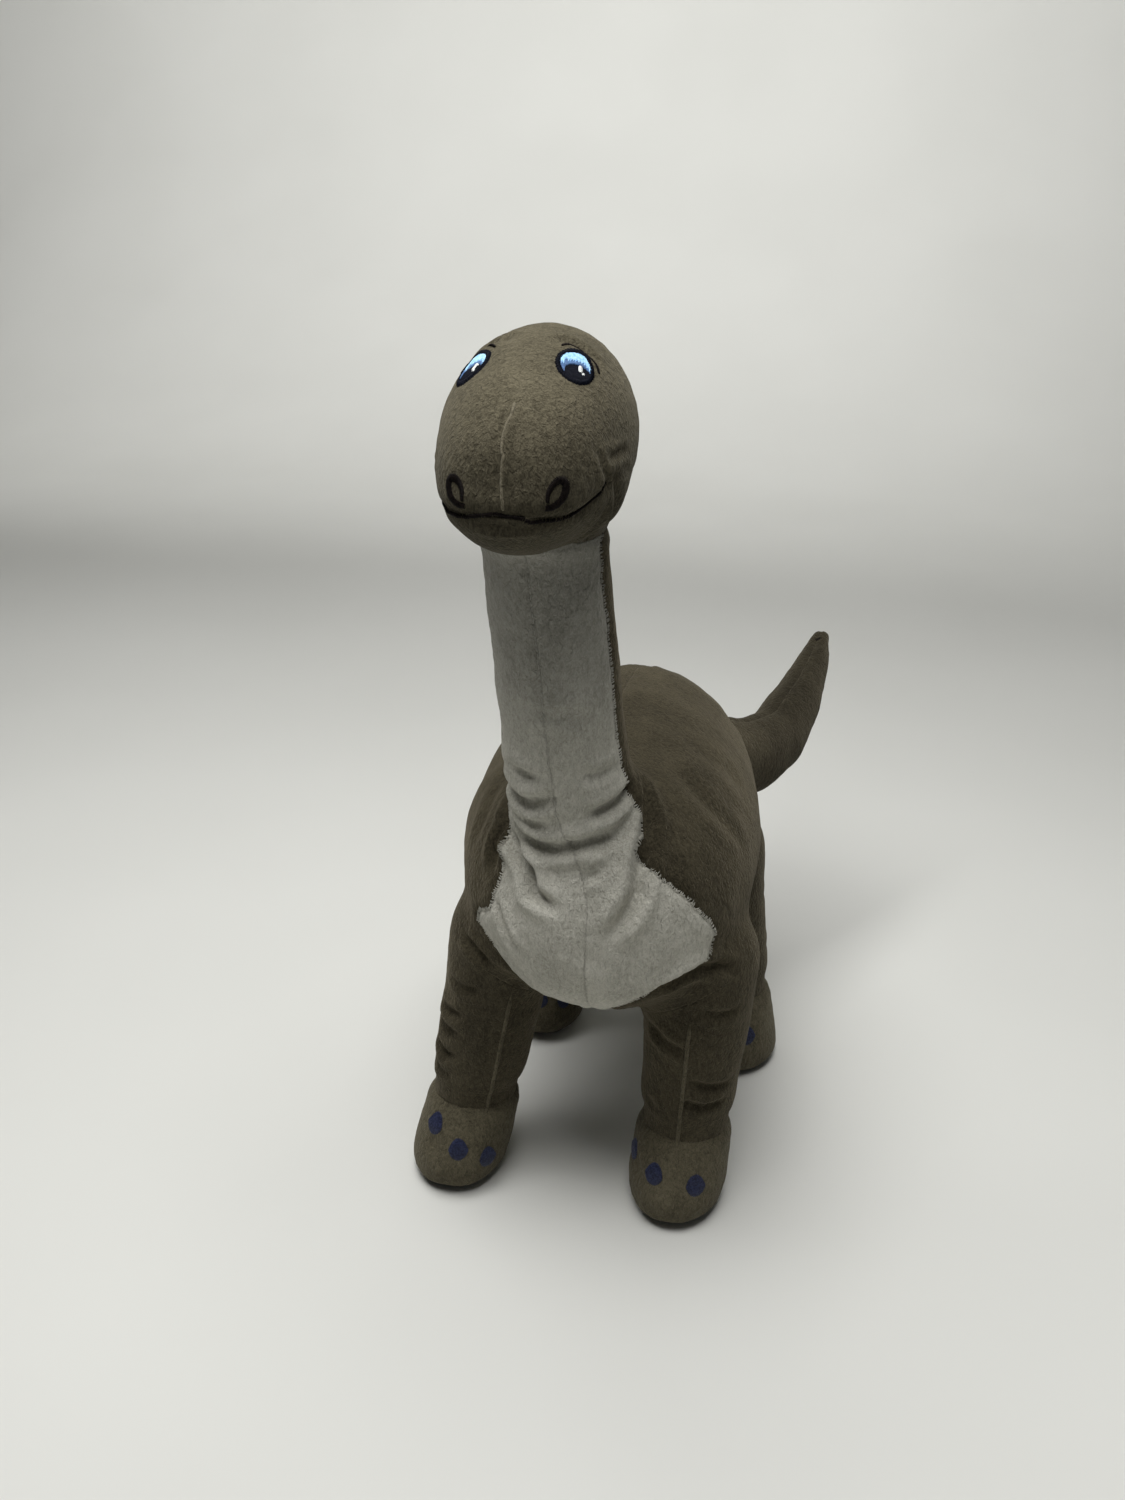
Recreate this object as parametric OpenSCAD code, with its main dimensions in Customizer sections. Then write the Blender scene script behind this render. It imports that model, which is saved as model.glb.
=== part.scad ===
// Plush long-necked dinosaur: stuffed bodies joined at soft folds, under sewn plush panels.
// Millimetres, +Z up, the head faces -Y, the animal's left side is +X.

/* [Torso] */
// Half width of the torso at the hips
torso_half_w = 79; // [76:1:82]
// Half height of the torso at the hips
torso_half_h = 75; // [72:1:78]

/* [Neck and head] */
// Radius of the neck where it folds on the chest
neck_r = 31; // [29:0.5:32]
// Radius of the neck's top end inside the head
neck_top_r = 28; // [27:0.5:29]
// Size of the head, as a share of its drawn size
head_size = 1; // [0.96:0.01:1.04]

/* [Tail and legs] */
// Radius of the tail where it folds on the rump
tail_r = 32; // [30:0.5:33]
// Radius of a front leg where it folds on the shoulder
front_leg_r = 31; // [29:0.5:32]
// Radius of a rear leg where it folds on the hip
rear_leg_r = 33; // [31:0.5:34]

/* [Fabric] */
// Thickness of the plush fabric with its backing
skin_t = 1.6; // [1.2:0.1:2]
// How far embroidery stands proud of the fabric
thread_proud = 0.6; // [0.3:0.1:0.8]

/* [Detail] */
// Sides of a round cross-section
sides = 20; // [16:2:24]

/* [Hidden] */

brown = [0.42, 0.385, 0.32];
grey = [0.66, 0.65, 0.62];
wool = [0.93, 0.93, 0.9];
navy = [0.09, 0.11, 0.22];
dark = [0.09, 0.07, 0.08];

// The drawing's origin lies on the floor midway between the front feet; the part's origin
// lies below the middle of the whole animal.
part_origin = [-12.4, 132.8, 0];

seam_gap = 0.3;     // free space along a seam
fill_gap = 1.2;     // between a panel's inside and the stuffing
torso_gap = 5;      // the same in the torso, whose flats are larger
fold_gap = 0.7;     // between a fold's ball and its socket
pocket_gap = 1;     // extra room round a limb where it swings in its pocket

// ---- the joints: where each limb folds ----
neck_pivot = [-14, -8, 222];
head_pivot = [-25, -31, 384];
tail_pivot = [-2, 184, 178];
neck_range = [-12, 18];
head_range = [-15, 20];
tail_range = [-20, 20];
leg_range = [-16, 16];

// A leg is [pivot, where the sole's middle stands, radius at the fold, outward side, toes' turn].
front_left = [[48, 8, 150], [41, 6], front_leg_r, 1, -11];
front_right = [[-58, 6, 150], [-84, 0], front_leg_r, -1, 14];
rear_left = [[34, 130, 146], [56, 140], rear_leg_r, 1, -6];
rear_right = [[-60, 132, 148], [-74, 144], rear_leg_r, -1, 6];

// ---- stations: [x, y, z, half width, half height, half angle of the pale or lower panel] ----
torso_stations = let (w = torso_half_w, h = torso_half_h) [
    [0, -52, 188, 1.2, 1.2, 179],
    [0, -50.5, 188, 18, 20, 178],
    [-1, -44, 187, 38, 36, 170],
    [-1, -30, 186, 55, 50, 136],
    [-2, -14, 186, 66, 60, 96],
    [-4, 4, 186, 73, 0.88 * h, 68],
    [-9, 35, 187, w, 0.96 * h, 50],
    [-13, 80, 189, w, h, 44],
    [-14, 120, 188, 0.9 * w, 0.97 * h, 44],
    [-14, 155, 184, 0.76 * w, 0.84 * h, 40],
    [-13, 182, 180, 0.58 * w, 0.66 * h, 34],
    [-13, 198, 178, 24, 28, 28],
    [-13, 203, 177, 1.2, 1.2, 24]];

neck_tube = let (r = neck_r, q = neck_top_r) [
    [-17, -11, 248, r - 0.5, r - 0.5, 76],
    [-20, -16, 280, r - 1.5, r - 1.5, 76],
    [-22, -22, 322, q + 0.5, q + 0.5, 76],
    [-24, -28, 358, q, q, 76]];

head_middle = [-25, -40, 419];
head_shape = [
    [0, -57, -12, 1.2, 1.2, 62],
    [0, -55, -12.5, 16, 13, 66],
    [0, -47, -12, 26, 22, 74],
    [0, -32, -9, 34, 30, 80],
    [0, -12, -3, 38.5, 37.5, 85],
    [0, 8, 1, 40, 42, 78],
    [0, 26, 3, 36, 39.5, 66],
    [0, 40, 2, 24, 28, 58],
    [0, 47, 1, 1.2, 1.2, 58]];

tail_tube = let (r = tail_r) [
    [20, 208, 167, r - 2, r - 2, 0],
    [40, 233, 160, 0.82 * r, 0.82 * r, 0],
    [56, 263, 163, 0.68 * r, 0.68 * r, 0],
    [66, 300, 177, 0.55 * r, 0.55 * r, 0],
    [73, 336, 194, 0.36 * r, 0.36 * r, 0],
    [76, 358, 206, 0.2 * r, 0.2 * r, 0],
    [76.5, 363, 209, 1.2, 1.2, 0]];

// A leg's outline from the sole up: [height, half width, half length, forward shift].
leg_outline = [
    [0, 21, 27, 8], [5, 26, 32, 8.5], [16, 27.5, 34.5, 9], [30, 27, 31.5, 7],
    [44, 26, 28, 3], [60, 26, 26.5, 0.5], [90, 27, 27, 0], [118, 29, 29, 0]];
sole_t = 1.8;       // thickness of a sole
ankle_z = 46;       // height of the seam between a foot and its leg

// ---- curves ----
function unit(v) = v / norm(v);
function pick(s, i) = s[max(0, min(len(s) - 1, i))];

// A smooth curve through four stations, between the middle two.
function between(a, b, c, d, t) = 0.5 * (2 * b + (c - a) * t
    + (2 * a - 5 * b + 4 * c - d) * t * t + (3 * b - a - 3 * c + d) * t * t * t);
function smooth(s, n) = [
    for (i = [0:len(s) - 2]) for (k = [0:n - 1])
        between(pick(s, i - 1), s[i], s[i + 1], pick(s, i + 2), k / n),
    s[len(s) - 1]];

// Stations of a ball's half, from its pole to its equator (or back), for a limb's folding end.
function ball(pivot, way, r, edge, from, to) = [
    for (k = [0:4]) let (a = from + (to - from) * k / 4)
        concat(pivot + way * r * sin(a), [r * cos(a), r * cos(a), edge])];

// Ring frames: [middle, sideways, upwards or forwards, half width, half height, edge angle].
function place(s) = [s[0], s[1], s[2]];
function along(s, i) = unit(place(pick(s, i + 1)) - place(pick(s, i - 1)));
function frame(s, i, level) = let (
        t = level ? [0, 0, 1] : along(s, i),
        u = unit([1, 0, 0] - t[0] * t))
    [place(s[i]), u, cross(u, t), s[i][3], s[i][4], s[i][5]];
function frames(s, level = false) = [for (i = [0:len(s) - 1]) frame(s, i, level)];

function spot(f, a) = f[0] + f[3] * cos(a) * f[1] + f[4] * sin(a) * f[2];
function inward(F, i, a) = unit(cross(
    spot(F[i], a + 2) - spot(F[i], a - 2),
    spot(pick(F, i + 1), a) - spot(pick(F, i - 1), a)));
function sunk(F, i, a, depth) = spot(F[i], a) + depth * inward(F, i, a);

// ---- solids swept along ring frames ----
// A closed solid, its whole surface sunk by a depth.
module filled(F, depth) {
    n = sides;
    rows = len(F);
    points = concat(
        [for (i = [0:rows - 1]) for (j = [0:n - 1]) sunk(F, i, 360 * j / n, depth)],
        [F[0][0], F[rows - 1][0]]);
    walls = [for (i = [0:rows - 2]) for (j = [0:n - 1]) for (half = [0, 1])
        let (k = (j + 1) % n, a = i * n, b = a + n)
        half == 0 ? [a + j, a + k, b + k] : [a + j, b + k, b + j]];
    ends = [for (j = [0:n - 1]) for (e = [0, 1]) let (k = (j + 1) % n, b = (rows - 1) * n)
        e == 0 ? [rows * n, k, j] : [rows * n + 1, b + j, b + k]];
    polyhedron(concat(walls, ends) == [] ? [] : points, concat(walls, ends), convexity = 4);
}

// A fabric panel between two lists of edge angles, from depth out to depth in.
module panel(F, low, high, out, deep) {
    rows = len(F);
    n = max(2, ceil(sides * max(high - low) / 360)) + 1;
    function turn(i, j) = low[i] + (high[i] - low[i]) * j / (n - 1);
    skins = [for (d = [out, deep]) for (i = [0:rows - 1]) for (j = [0:n - 1])
        sunk(F, i, turn(i, j), d)];
    q = rows * n;
    function quad(a, b, c, d) = [[a, b, c], [a, c, d]];
    faces = [
        for (i = [0:rows - 2]) for (j = [0:n - 2]) let (a = i * n + j)
            each concat(quad(a, a + 1, a + n + 1, a + n),
                quad(q + a + n, q + a + n + 1, q + a + 1, q + a)),
        for (j = [0:n - 2]) let (b = (rows - 1) * n + j)
            each concat(quad(j + 1, j, q + j, q + j + 1), quad(b, b + 1, q + b + 1, q + b)),
        for (i = [0:rows - 2]) let (a = i * n, b = a + n - 1)
            each concat(quad(a, a + n, q + a + n, q + a), quad(b + n, b, q + b, q + b + n))];
    polyhedron(skins, faces, convexity = 6);
}

// Edge angles at a constant angle, or beside the pale panel of each ring, with the seam's gap.
function gap_angle(f) = 57.3 * seam_gap / 2 / max(6, min(f[3], f[4]));
function fixed(F, a, side) = [for (f = F) a + side * gap_angle(f)];
function beside(F, a, way, side) = [for (f = F) a + way * f[5] + side * gap_angle(f)];

// ---- the swept shapes ----
torso_rings = frames(torso_stations);
neck_way = unit([-0.1, -0.12, 1]);
neck_end = unit(head_pivot - place(neck_tube[3]));
neck_rings = frames(concat(
    ball(neck_pivot, neck_way, neck_r, 74, -72, 0),
    neck_tube,
    ball(head_pivot, neck_end, neck_top_r, 72, 0, 72)));
head_rings = frames([for (s = smooth(head_shape, 2))
    concat(head_middle + head_size * place(s), [head_size * s[3], head_size * s[4], s[5]])]);
tail_way = unit([0.6, 0.75, -0.28]);
tail_rings = frames(concat(ball(tail_pivot, tail_way, tail_r, 40, -72, 0),
    tail_tube));

function leg_station(leg, o) = let (t = min(1, o[0] / leg[0][2]))
    [leg[1][0] + (leg[0][0] - leg[1][0]) * t, leg[1][1] + (leg[0][1] - leg[1][1]) * t - o[3],
        o[0], o[1], o[2], 0];
function leg_stations(leg) = concat(
    [for (o = leg_outline) leg_station(leg, o)],
    ball(leg[0], [0, 0, 1], leg[2], 0, 0, 72));
function rings_from(S, low, high) = frames([for (s = S) if (s[2] >= low && s[2] <= high) s], true);

// ---- folds: each limb's ball end turns in a pocket that leaves it room to swing ----
// Room for a limb of radius r, running from its pivot along `way`, over its joint's range.
module pocket(pivot, way, r, length, axis, range) {
    lean = [0, acos(way[2]), atan2(way[1], way[0])];
    hull() {
        translate(pivot) sphere(r + fold_gap, $fn = 24);
        for (a = [range[0], (range[0] + range[1]) / 2, range[1]])
            translate(pivot) rotate(a, axis) rotate(lean)
                cylinder(r = r + pocket_gap, h = length, $fn = 24);
    }
}

function leg_way(leg) = unit([leg[1][0], leg[1][1], 0] - leg[0]);
module leg_room(leg) { pocket(leg[0], leg_way(leg), leg[2], 90, [1, 0, 0], leg_range); }
module neck_room() { pocket(neck_pivot, neck_way, neck_r, 80, [1, 0, 0], neck_range); }
module tail_room() { pocket(tail_pivot, tail_way, tail_r, 90, [0, 0, 1], tail_range); }
module head_room() {
    pocket(head_pivot, -neck_end, neck_top_r, 60, [1, 0, 0], -head_range);
}

// ---- torso ----
module torso_cut() {
    difference() {
        children();
        neck_room();
        tail_room();
        for (leg = [front_left, front_right, rear_left, rear_right]) leg_room(leg);
    }
}
module torso_stuffing() { color(wool) torso_cut() filled(torso_rings, skin_t + torso_gap); }
chest_rows = 2;     // rings of the chest that the pale panels cover all round
module body_panel(side) {
    F = [for (i = [chest_rows:len(torso_rings) - 1]) torso_rings[i]];
    color(brown) torso_cut()
        if (side > 0) panel(F, beside(F, -90, 1, 1), fixed(F, 90, -1), 0, skin_t);
        else panel(F, fixed(F, 90, 1), beside(F, 270, -1, -1), 0, skin_t);
}
module belly_panel(side) {
    F = torso_rings;
    color(grey) torso_cut()
        if (side > 0) panel(F, fixed(F, 270, 1), beside(F, 270, 1, -1), 0, skin_t);
        else panel(F, beside(F, 270, -1, 1), fixed(F, 270, -1), 0, skin_t);
}
label_ring = 7;
label_lean = 134;
label_size = [16, 20, 0.8];
// A folded satin label without printing, sewn into the seam beside the belly.
module care_label() {
    F = torso_rings;
    seam = 270 - F[label_ring][5];
    color(wool) translate(sunk(F, label_ring, seam, -0.3)) rotate([0, label_lean, 0])
        translate([0, -label_size[1] / 2, -label_size[2] / 2]) cube(label_size);
}

// ---- neck ----
module neck_stuffing() { color(wool) filled(neck_rings, skin_t + fill_gap); }
module neck_front(side) {
    F = neck_rings;
    color(grey)
        if (side > 0) panel(F, beside(F, 90, -1, 1), fixed(F, 90, -1), 0, skin_t);
        else panel(F, fixed(F, 90, 1), beside(F, 90, 1, -1), 0, skin_t);
}
module neck_back(side) {
    F = neck_rings;
    color(brown)
        if (side > 0) panel(F, fixed(F, -90, 1), beside(F, 90, -1, -1), 0, skin_t);
        else panel(F, beside(F, 90, 1, 1), fixed(F, 270, -1), 0, skin_t);
}

// ---- head ----
face_rows = 12;     // rings of the head that the face panel covers, from the nose
mouth_rows = 8;     // rings of the head that the mouth's stitching covers
mouth_w = 4;        // width of the mouth's stitching, in degrees round the head
eye_r = 8;
claw_r = 4.8;

// A round or ringed patch on the head, seen from the head's middle along a direction.
module head_ray(azimuth, elevation, r, inner = 0) {
    translate(head_middle) rotate([0, 90 - elevation, azimuth - 90]) difference() {
        cylinder(r = r, h = 90, $fn = 24);
        if (inner > 0) translate([0, 0, -1]) cylinder(r = inner, h = 92, $fn = 24);
    }
}
eye_at = [60, 52];
nostril_at = [20.5, -8.4];
module eye_shape(side, grow = 0) { head_ray(side * eye_at[0], eye_at[1], eye_r + grow); }
module nostril_shape(side, grow = 0) {
    head_ray(side * nostril_at[0], nostril_at[1], 5.5 + grow, 3 - grow);
}
module brow_shape(side, grow = 0) {
    intersection() {
        head_ray(side * eye_at[0], eye_at[1], 12.5 + grow, 11 - grow);
        translate(head_middle + [-80, -90, 16]) cube([160, 130, 60]);
    }
}
module head_marks(grow) {
    for (side = [-1, 1]) {
        eye_shape(side, grow);
        nostril_shape(side, grow);
        brow_shape(side, grow);
    }
}
module head_band(out, deep) {
    F = head_rings;
    panel(F, beside(F, -90, 1, 1), beside(F, 270, -1, -1), out, deep);
}
module head_patch() {
    color(navy) intersection() {
        head_band(-thread_proud, skin_t - 0.2);
        children();
    }
}
module head_stuffing() {
    color(wool) difference() {
        filled(head_rings, skin_t + fill_gap);
        head_room();
    }
}
module face_panel() {
    F = [for (i = [0:face_rows]) head_rings[i]];
    edge = [for (f = F) mouth_w + gap_angle(f)];
    color(brown) difference() {
        panel(F, [for (i = [0:face_rows]) -90 + F[i][5] + edge[i]],
            [for (i = [0:face_rows]) 270 - F[i][5] - edge[i]], 0, skin_t);
        head_marks(0.15);
    }
}
module chin_panel() {
    F = head_rings;
    color(brown) difference() {
        panel(F, beside(F, 270, -1, 1), beside(F, 270, 1, -1), 0, skin_t);
        head_room();
    }
}
module head_back(side) {
    all = head_rings;
    F = [for (i = [face_rows:len(all) - 1])
        i > face_rows ? all[i] : [all[i][0] + [0, 4 * seam_gap, 0], all[i][1], all[i][2],
            all[i][3], all[i][4], all[i][5]]];
    color(brown) difference() {
        if (side > 0) panel(F, beside(F, -90, 1, 1), fixed(F, 90, -1), 0, skin_t);
        else panel(F, fixed(F, 90, 1), beside(F, 270, -1, -1), 0, skin_t);
        head_room();
    }
}
module mouth_stitch() {
    F = [for (i = [0:mouth_rows]) head_rings[i]];
    color(dark) for (side = [-1, 1])
        panel(F, [for (f = F) 270 + (side > 0 ? f[5] + gap_angle(f) : -f[5] - mouth_w)],
            [for (f = F) 270 + (side > 0 ? f[5] + mouth_w : -f[5] - gap_angle(f))],
            0.2, skin_t - 0.2);
}

// ---- tail ----
module tail_stuffing() { color(wool) filled(tail_rings, skin_t + fill_gap); }
module tail_panel(side) {
    F = tail_rings;
    color(brown)
        if (side > 0) panel(F, fixed(F, -90, 1), fixed(F, 90, -1), 0, skin_t);
        else panel(F, fixed(F, 90, 1), fixed(F, 270, -1), 0, skin_t);
}

// ---- legs ----
module leg_stuffing(leg) {
    color(wool) filled(rings_from(leg_stations(leg), sole_t, 400), skin_t + fill_gap);
}
module leg_panel(leg, outer) {
    F = rings_from(leg_stations(leg), ankle_z, 400);
    facing = outer ? leg[3] : -leg[3];
    color(brown)
        if (facing > 0) panel(F, fixed(F, -90, 1), fixed(F, 90, -1), 0, skin_t);
        else panel(F, fixed(F, 90, 1), fixed(F, 270, -1), 0, skin_t);
}
claw_z = 29;        // height of the claws' middles
claw_spread = 31;   // angle between one claw and the next
module foot_claws(leg, grow) {
    middle = leg_station(leg, [claw_z, 0, 0, 4]);
    for (k = [-1, 0, 1])
        translate([middle[0], middle[1], claw_z]) rotate([0, 90, leg[4] + k * claw_spread - 90])
            cylinder(r = claw_r + grow, h = 60, $fn = 20);
}
module foot_shell(leg, out, deep) {
    F = rings_from(leg_stations(leg), sole_t, ankle_z);
    panel(F, fixed(F, -90, 1), fixed(F, 270, -1), out, deep);
}
module foot_panel(leg) {
    color(brown) difference() {
        foot_shell(leg, 0, skin_t);
        foot_claws(leg, 0.15);
    }
}
module claws(leg) {
    color(navy) intersection() {
        foot_shell(leg, -thread_proud, skin_t - 0.2);
        foot_claws(leg, 0);
    }
}
module sole(leg) {
    s = leg_stations(leg)[0];
    color(brown) translate([s[0], s[1], 0]) hull() for (i = [-1, 1])
        translate([0, i * (s[4] - s[3]), 0]) cylinder(r = s[3], h = sole_t, $fn = 40);
}

// ---- every piece in its own node ----
module drawn() { translate(-part_origin) children(); }

drawn() torso_stuffing();
drawn() body_panel(1);  // body_left_panel
drawn() body_panel(-1);  // body_right_panel
drawn() belly_panel(1);  // belly_left_panel
drawn() belly_panel(-1);  // belly_right_panel
drawn() care_label();
drawn() neck_stuffing();
drawn() neck_front(1);  // neck_front_left_panel
drawn() neck_front(-1);  // neck_front_right_panel
drawn() neck_back(1);  // neck_back_left_panel
drawn() neck_back(-1);  // neck_back_right_panel
drawn() head_stuffing();
drawn() face_panel();
drawn() chin_panel();
drawn() head_back(1);  // head_back_left_panel
drawn() head_back(-1);  // head_back_right_panel
drawn() head_patch() eye_shape(1);  // left_eye
drawn() head_patch() eye_shape(-1);  // right_eye
drawn() head_patch() brow_shape(1);  // left_brow
drawn() head_patch() brow_shape(-1);  // right_brow
drawn() head_patch() nostril_shape(1);  // left_nostril
drawn() head_patch() nostril_shape(-1);  // right_nostril
drawn() mouth_stitch();
drawn() tail_stuffing();
drawn() tail_panel(1);  // tail_left_panel
drawn() tail_panel(-1);  // tail_right_panel
drawn() leg_stuffing(front_left);  // front_left_stuffing
drawn() leg_panel(front_left, true);  // front_left_outer_panel
drawn() leg_panel(front_left, false);  // front_left_inner_panel
drawn() foot_panel(front_left);  // front_left_foot_panel
drawn() sole(front_left);  // front_left_sole
drawn() claws(front_left);  // front_left_claws
drawn() leg_stuffing(front_right);  // front_right_stuffing
drawn() leg_panel(front_right, true);  // front_right_outer_panel
drawn() leg_panel(front_right, false);  // front_right_inner_panel
drawn() foot_panel(front_right);  // front_right_foot_panel
drawn() sole(front_right);  // front_right_sole
drawn() claws(front_right);  // front_right_claws
drawn() leg_stuffing(rear_left);  // rear_left_stuffing
drawn() leg_panel(rear_left, true);  // rear_left_outer_panel
drawn() leg_panel(rear_left, false);  // rear_left_inner_panel
drawn() foot_panel(rear_left);  // rear_left_foot_panel
drawn() sole(rear_left);  // rear_left_sole
drawn() claws(rear_left);  // rear_left_claws
drawn() leg_stuffing(rear_right);  // rear_right_stuffing
drawn() leg_panel(rear_right, true);  // rear_right_outer_panel
drawn() leg_panel(rear_right, false);  // rear_right_inner_panel
drawn() foot_panel(rear_right);  // rear_right_foot_panel
drawn() sole(rear_right);  // rear_right_sole
drawn() claws(rear_right);  // rear_right_claws
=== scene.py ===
# %% [markdown]
# # A stuffed long-necked dinosaur
#
# The real toy is a plush skin sewn from cut panels, turned inside out and packed with
# polyester fibre. This script makes the same thing: one swollen form, cut along its seams into
# panels, each panel given a thickness and a pile, and then the embroidery laid on top.
# Lengths in the lists below are millimetres in the CAD drawing's own frame; metres() turns them
# into the scene's metres.

# %% Load the frame
import math
import bmesh
import bpy
import numpy as np
from mathutils import Matrix, Vector, noise
from mathutils.bvhtree import BVHTree
from mathutils.kdtree import KDTree


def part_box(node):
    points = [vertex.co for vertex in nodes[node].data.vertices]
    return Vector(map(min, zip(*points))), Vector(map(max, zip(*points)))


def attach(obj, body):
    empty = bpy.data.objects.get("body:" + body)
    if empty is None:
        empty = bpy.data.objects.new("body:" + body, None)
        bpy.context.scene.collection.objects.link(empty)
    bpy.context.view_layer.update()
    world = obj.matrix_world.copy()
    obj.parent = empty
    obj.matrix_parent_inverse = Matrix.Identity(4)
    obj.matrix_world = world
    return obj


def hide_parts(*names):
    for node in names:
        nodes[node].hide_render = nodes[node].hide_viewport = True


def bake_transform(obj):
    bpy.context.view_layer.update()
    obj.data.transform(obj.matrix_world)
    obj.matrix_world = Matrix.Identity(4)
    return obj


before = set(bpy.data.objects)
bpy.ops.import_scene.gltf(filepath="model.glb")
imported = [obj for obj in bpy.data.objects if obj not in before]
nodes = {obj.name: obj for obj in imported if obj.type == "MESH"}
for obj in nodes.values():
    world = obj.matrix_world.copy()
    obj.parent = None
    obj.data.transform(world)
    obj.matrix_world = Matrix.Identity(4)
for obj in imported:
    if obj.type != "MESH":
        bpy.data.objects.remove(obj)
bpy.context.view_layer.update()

# %% [markdown]
# ## Camera, floor and light
#
# A phone held close and high gives a wide view that looks down on the toy: the head looks large
# and the feet small. The floor is a plain sheet that curves up behind the toy, so there is no
# horizon line, and big soft lamps overhead leave only a faint shadow.

# %% The camera
turn = math.radians(15)
tip = math.radians(25)
look = Vector((-math.sin(turn) * math.cos(tip), math.cos(turn) * math.cos(tip), -math.sin(tip)))
right = Vector((math.cos(turn), math.sin(turn), 0))
up = right.cross(look)
camera_data = bpy.data.cameras.new("camera")
camera_data.lens = 30.14
camera_data.sensor_width = 36
camera_data.clip_start = 0.01
camera = bpy.data.objects.new("camera", camera_data)
camera.matrix_world = Matrix((
    (right.x, up.x, -look.x, 0.1304),
    (right.y, up.y, -look.y, -0.6668),
    (right.z, up.z, -look.z, 0.520),
    (0, 0, 0, 1)))
bpy.context.scene.collection.objects.link(camera)
bpy.context.scene.camera = camera

# %% Small helpers for materials
def new_material(name):
    material = bpy.data.materials.new(name)
    material.use_nodes = True
    tree = material.node_tree
    return material, tree, tree.nodes["Principled BSDF"]


def link(tree, source, target):
    tree.links.new(source, target)


def node(tree, kind, **values):
    made = tree.nodes.new(kind)
    for key, value in values.items():
        if key in made.inputs:
            made.inputs[key].default_value = value
        else:
            setattr(made, key, value)
    return made


def set_ramp(ramp, stops):
    elements = ramp.color_ramp.elements
    while len(elements) < len(stops):
        elements.new(0.5)
    for element, (place, colour) in zip(elements, stops):
        element.position = place
        element.color = (*colour, 1)


def textured(tree, kind, **values):
    """A texture that reads the object's own space."""
    made = node(tree, kind, **values)
    link(tree, node(tree, "ShaderNodeTexCoord").outputs["Object"], made.inputs["Vector"])
    return made


def tinted(tree, shader, pattern, stops):
    """Gives the shader the colours of a ramp over a pattern."""
    ramp = node(tree, "ShaderNodeValToRGB")
    set_ramp(ramp, stops)
    link(tree, pattern.outputs["Fac"], ramp.inputs["Fac"])
    link(tree, ramp.outputs["Color"], shader.inputs["Base Color"])


def raised(tree, pattern, strength, distance, below=None):
    """The bump of a pattern, on top of the bump below it."""
    bump = node(tree, "ShaderNodeBump", Strength=strength, Distance=distance)
    link(tree, pattern.outputs["Fac"], bump.inputs["Height"])
    if below:
        link(tree, below, bump.inputs["Normal"])
    return bump.outputs["Normal"]


def smooth_faces(obj):
    obj.data.polygons.foreach_set("use_smooth", [True] * len(obj.data.polygons))


# %% The floor and the backdrop
def paper_sweep():
    """A floor that curves up into a wall far behind the toy."""
    bm = bmesh.new()
    ends = [bm.verts.new((-5, -4, 0)), bm.verts.new((5, -4, 0))]
    edge = bm.edges.new(ends)
    strip = bmesh.ops.extrude_edge_only(bm, edges=[edge])
    far = [e for e in strip["geom"] if isinstance(e, bmesh.types.BMVert)]
    bmesh.ops.translate(bm, verts=far, vec=(0, 5.4, 0))
    rim = [e for e in strip["geom"] if isinstance(e, bmesh.types.BMEdge)
        and all(v in far for v in e.verts)]
    curl = bmesh.ops.spin(bm, geom=rim, cent=(0, 1.4, 1.2), axis=(1, 0, 0),
        angle=math.radians(90), steps=24, dvec=(0, 0, 0))
    top = [g for g in curl["geom_last"] if isinstance(g, bmesh.types.BMEdge)]
    wall = bmesh.ops.extrude_edge_only(bm, edges=top)
    high = [g for g in wall["geom"] if isinstance(g, bmesh.types.BMVert)]
    bmesh.ops.translate(bm, verts=high, vec=(0, 0, 1.8))
    bmesh.ops.recalc_face_normals(bm, faces=bm.faces)
    mesh = bpy.data.meshes.new("paper")
    bm.to_mesh(mesh)
    bm.free()
    return bpy.data.objects.new("paper", mesh)


paper = paper_sweep()
smooth_faces(paper)
bpy.context.scene.collection.objects.link(paper)
paper_material, tree, shader = new_material("pale_paper")
shader.inputs["Roughness"].default_value = 0.9
cloud = textured(tree, "ShaderNodeTexNoise", Scale=3.0, Detail=2.0)
tinted(tree, shader, cloud, [(0.3, (0.70, 0.70, 0.66)), (0.7, (0.73, 0.73, 0.69))])
paper.data.materials.append(paper_material)

# %% The lamps
def lamp(name, size, power, place, aim):
    data = bpy.data.lights.new(name, "AREA")
    data.shape = "RECTANGLE"
    data.size = size[0]
    data.size_y = size[1]
    data.energy = power
    made = bpy.data.objects.new(name, data)
    made.location = place
    made.rotation_euler = (Vector(aim) - Vector(place)).to_track_quat("-Z", "Y").to_euler()
    bpy.context.scene.collection.objects.link(made)
    return made


toy_middle = (0, 0, 0.22)
lamp("top_lamp", (1.1, 0.9), 24, (-0.10, -0.24, 1.45), (0, -0.05, 0.2))
lamp("left_lamp", (1.2, 1.2), 0.2, (-1.5, -0.5, 1.2), toy_middle)
lamp("right_lamp", (1.2, 1.2), 0.4, (1.5, -0.5, 1.2), toy_middle)
lamp("front_lamp", (1.2, 0.8), 0.15, (0.2, -1.5, 1.3), toy_middle)
wall_lamp = lamp("wall_lamp", (3.0, 0.5), 24, (-0.70, 0.75, 1.3), (-0.85, 2.6, 0.85))
wall_lamp.data.spread = math.radians(140)
world = bpy.data.worlds.new("room")
world.use_nodes = True
world.node_tree.nodes["Background"].inputs["Color"].default_value = (0.93, 0.95, 0.96, 1)
world.node_tree.nodes["Background"].inputs["Strength"].default_value = 0.035
bpy.context.scene.world = world
bpy.context.scene.view_settings.view_transform = "Standard"

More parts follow.
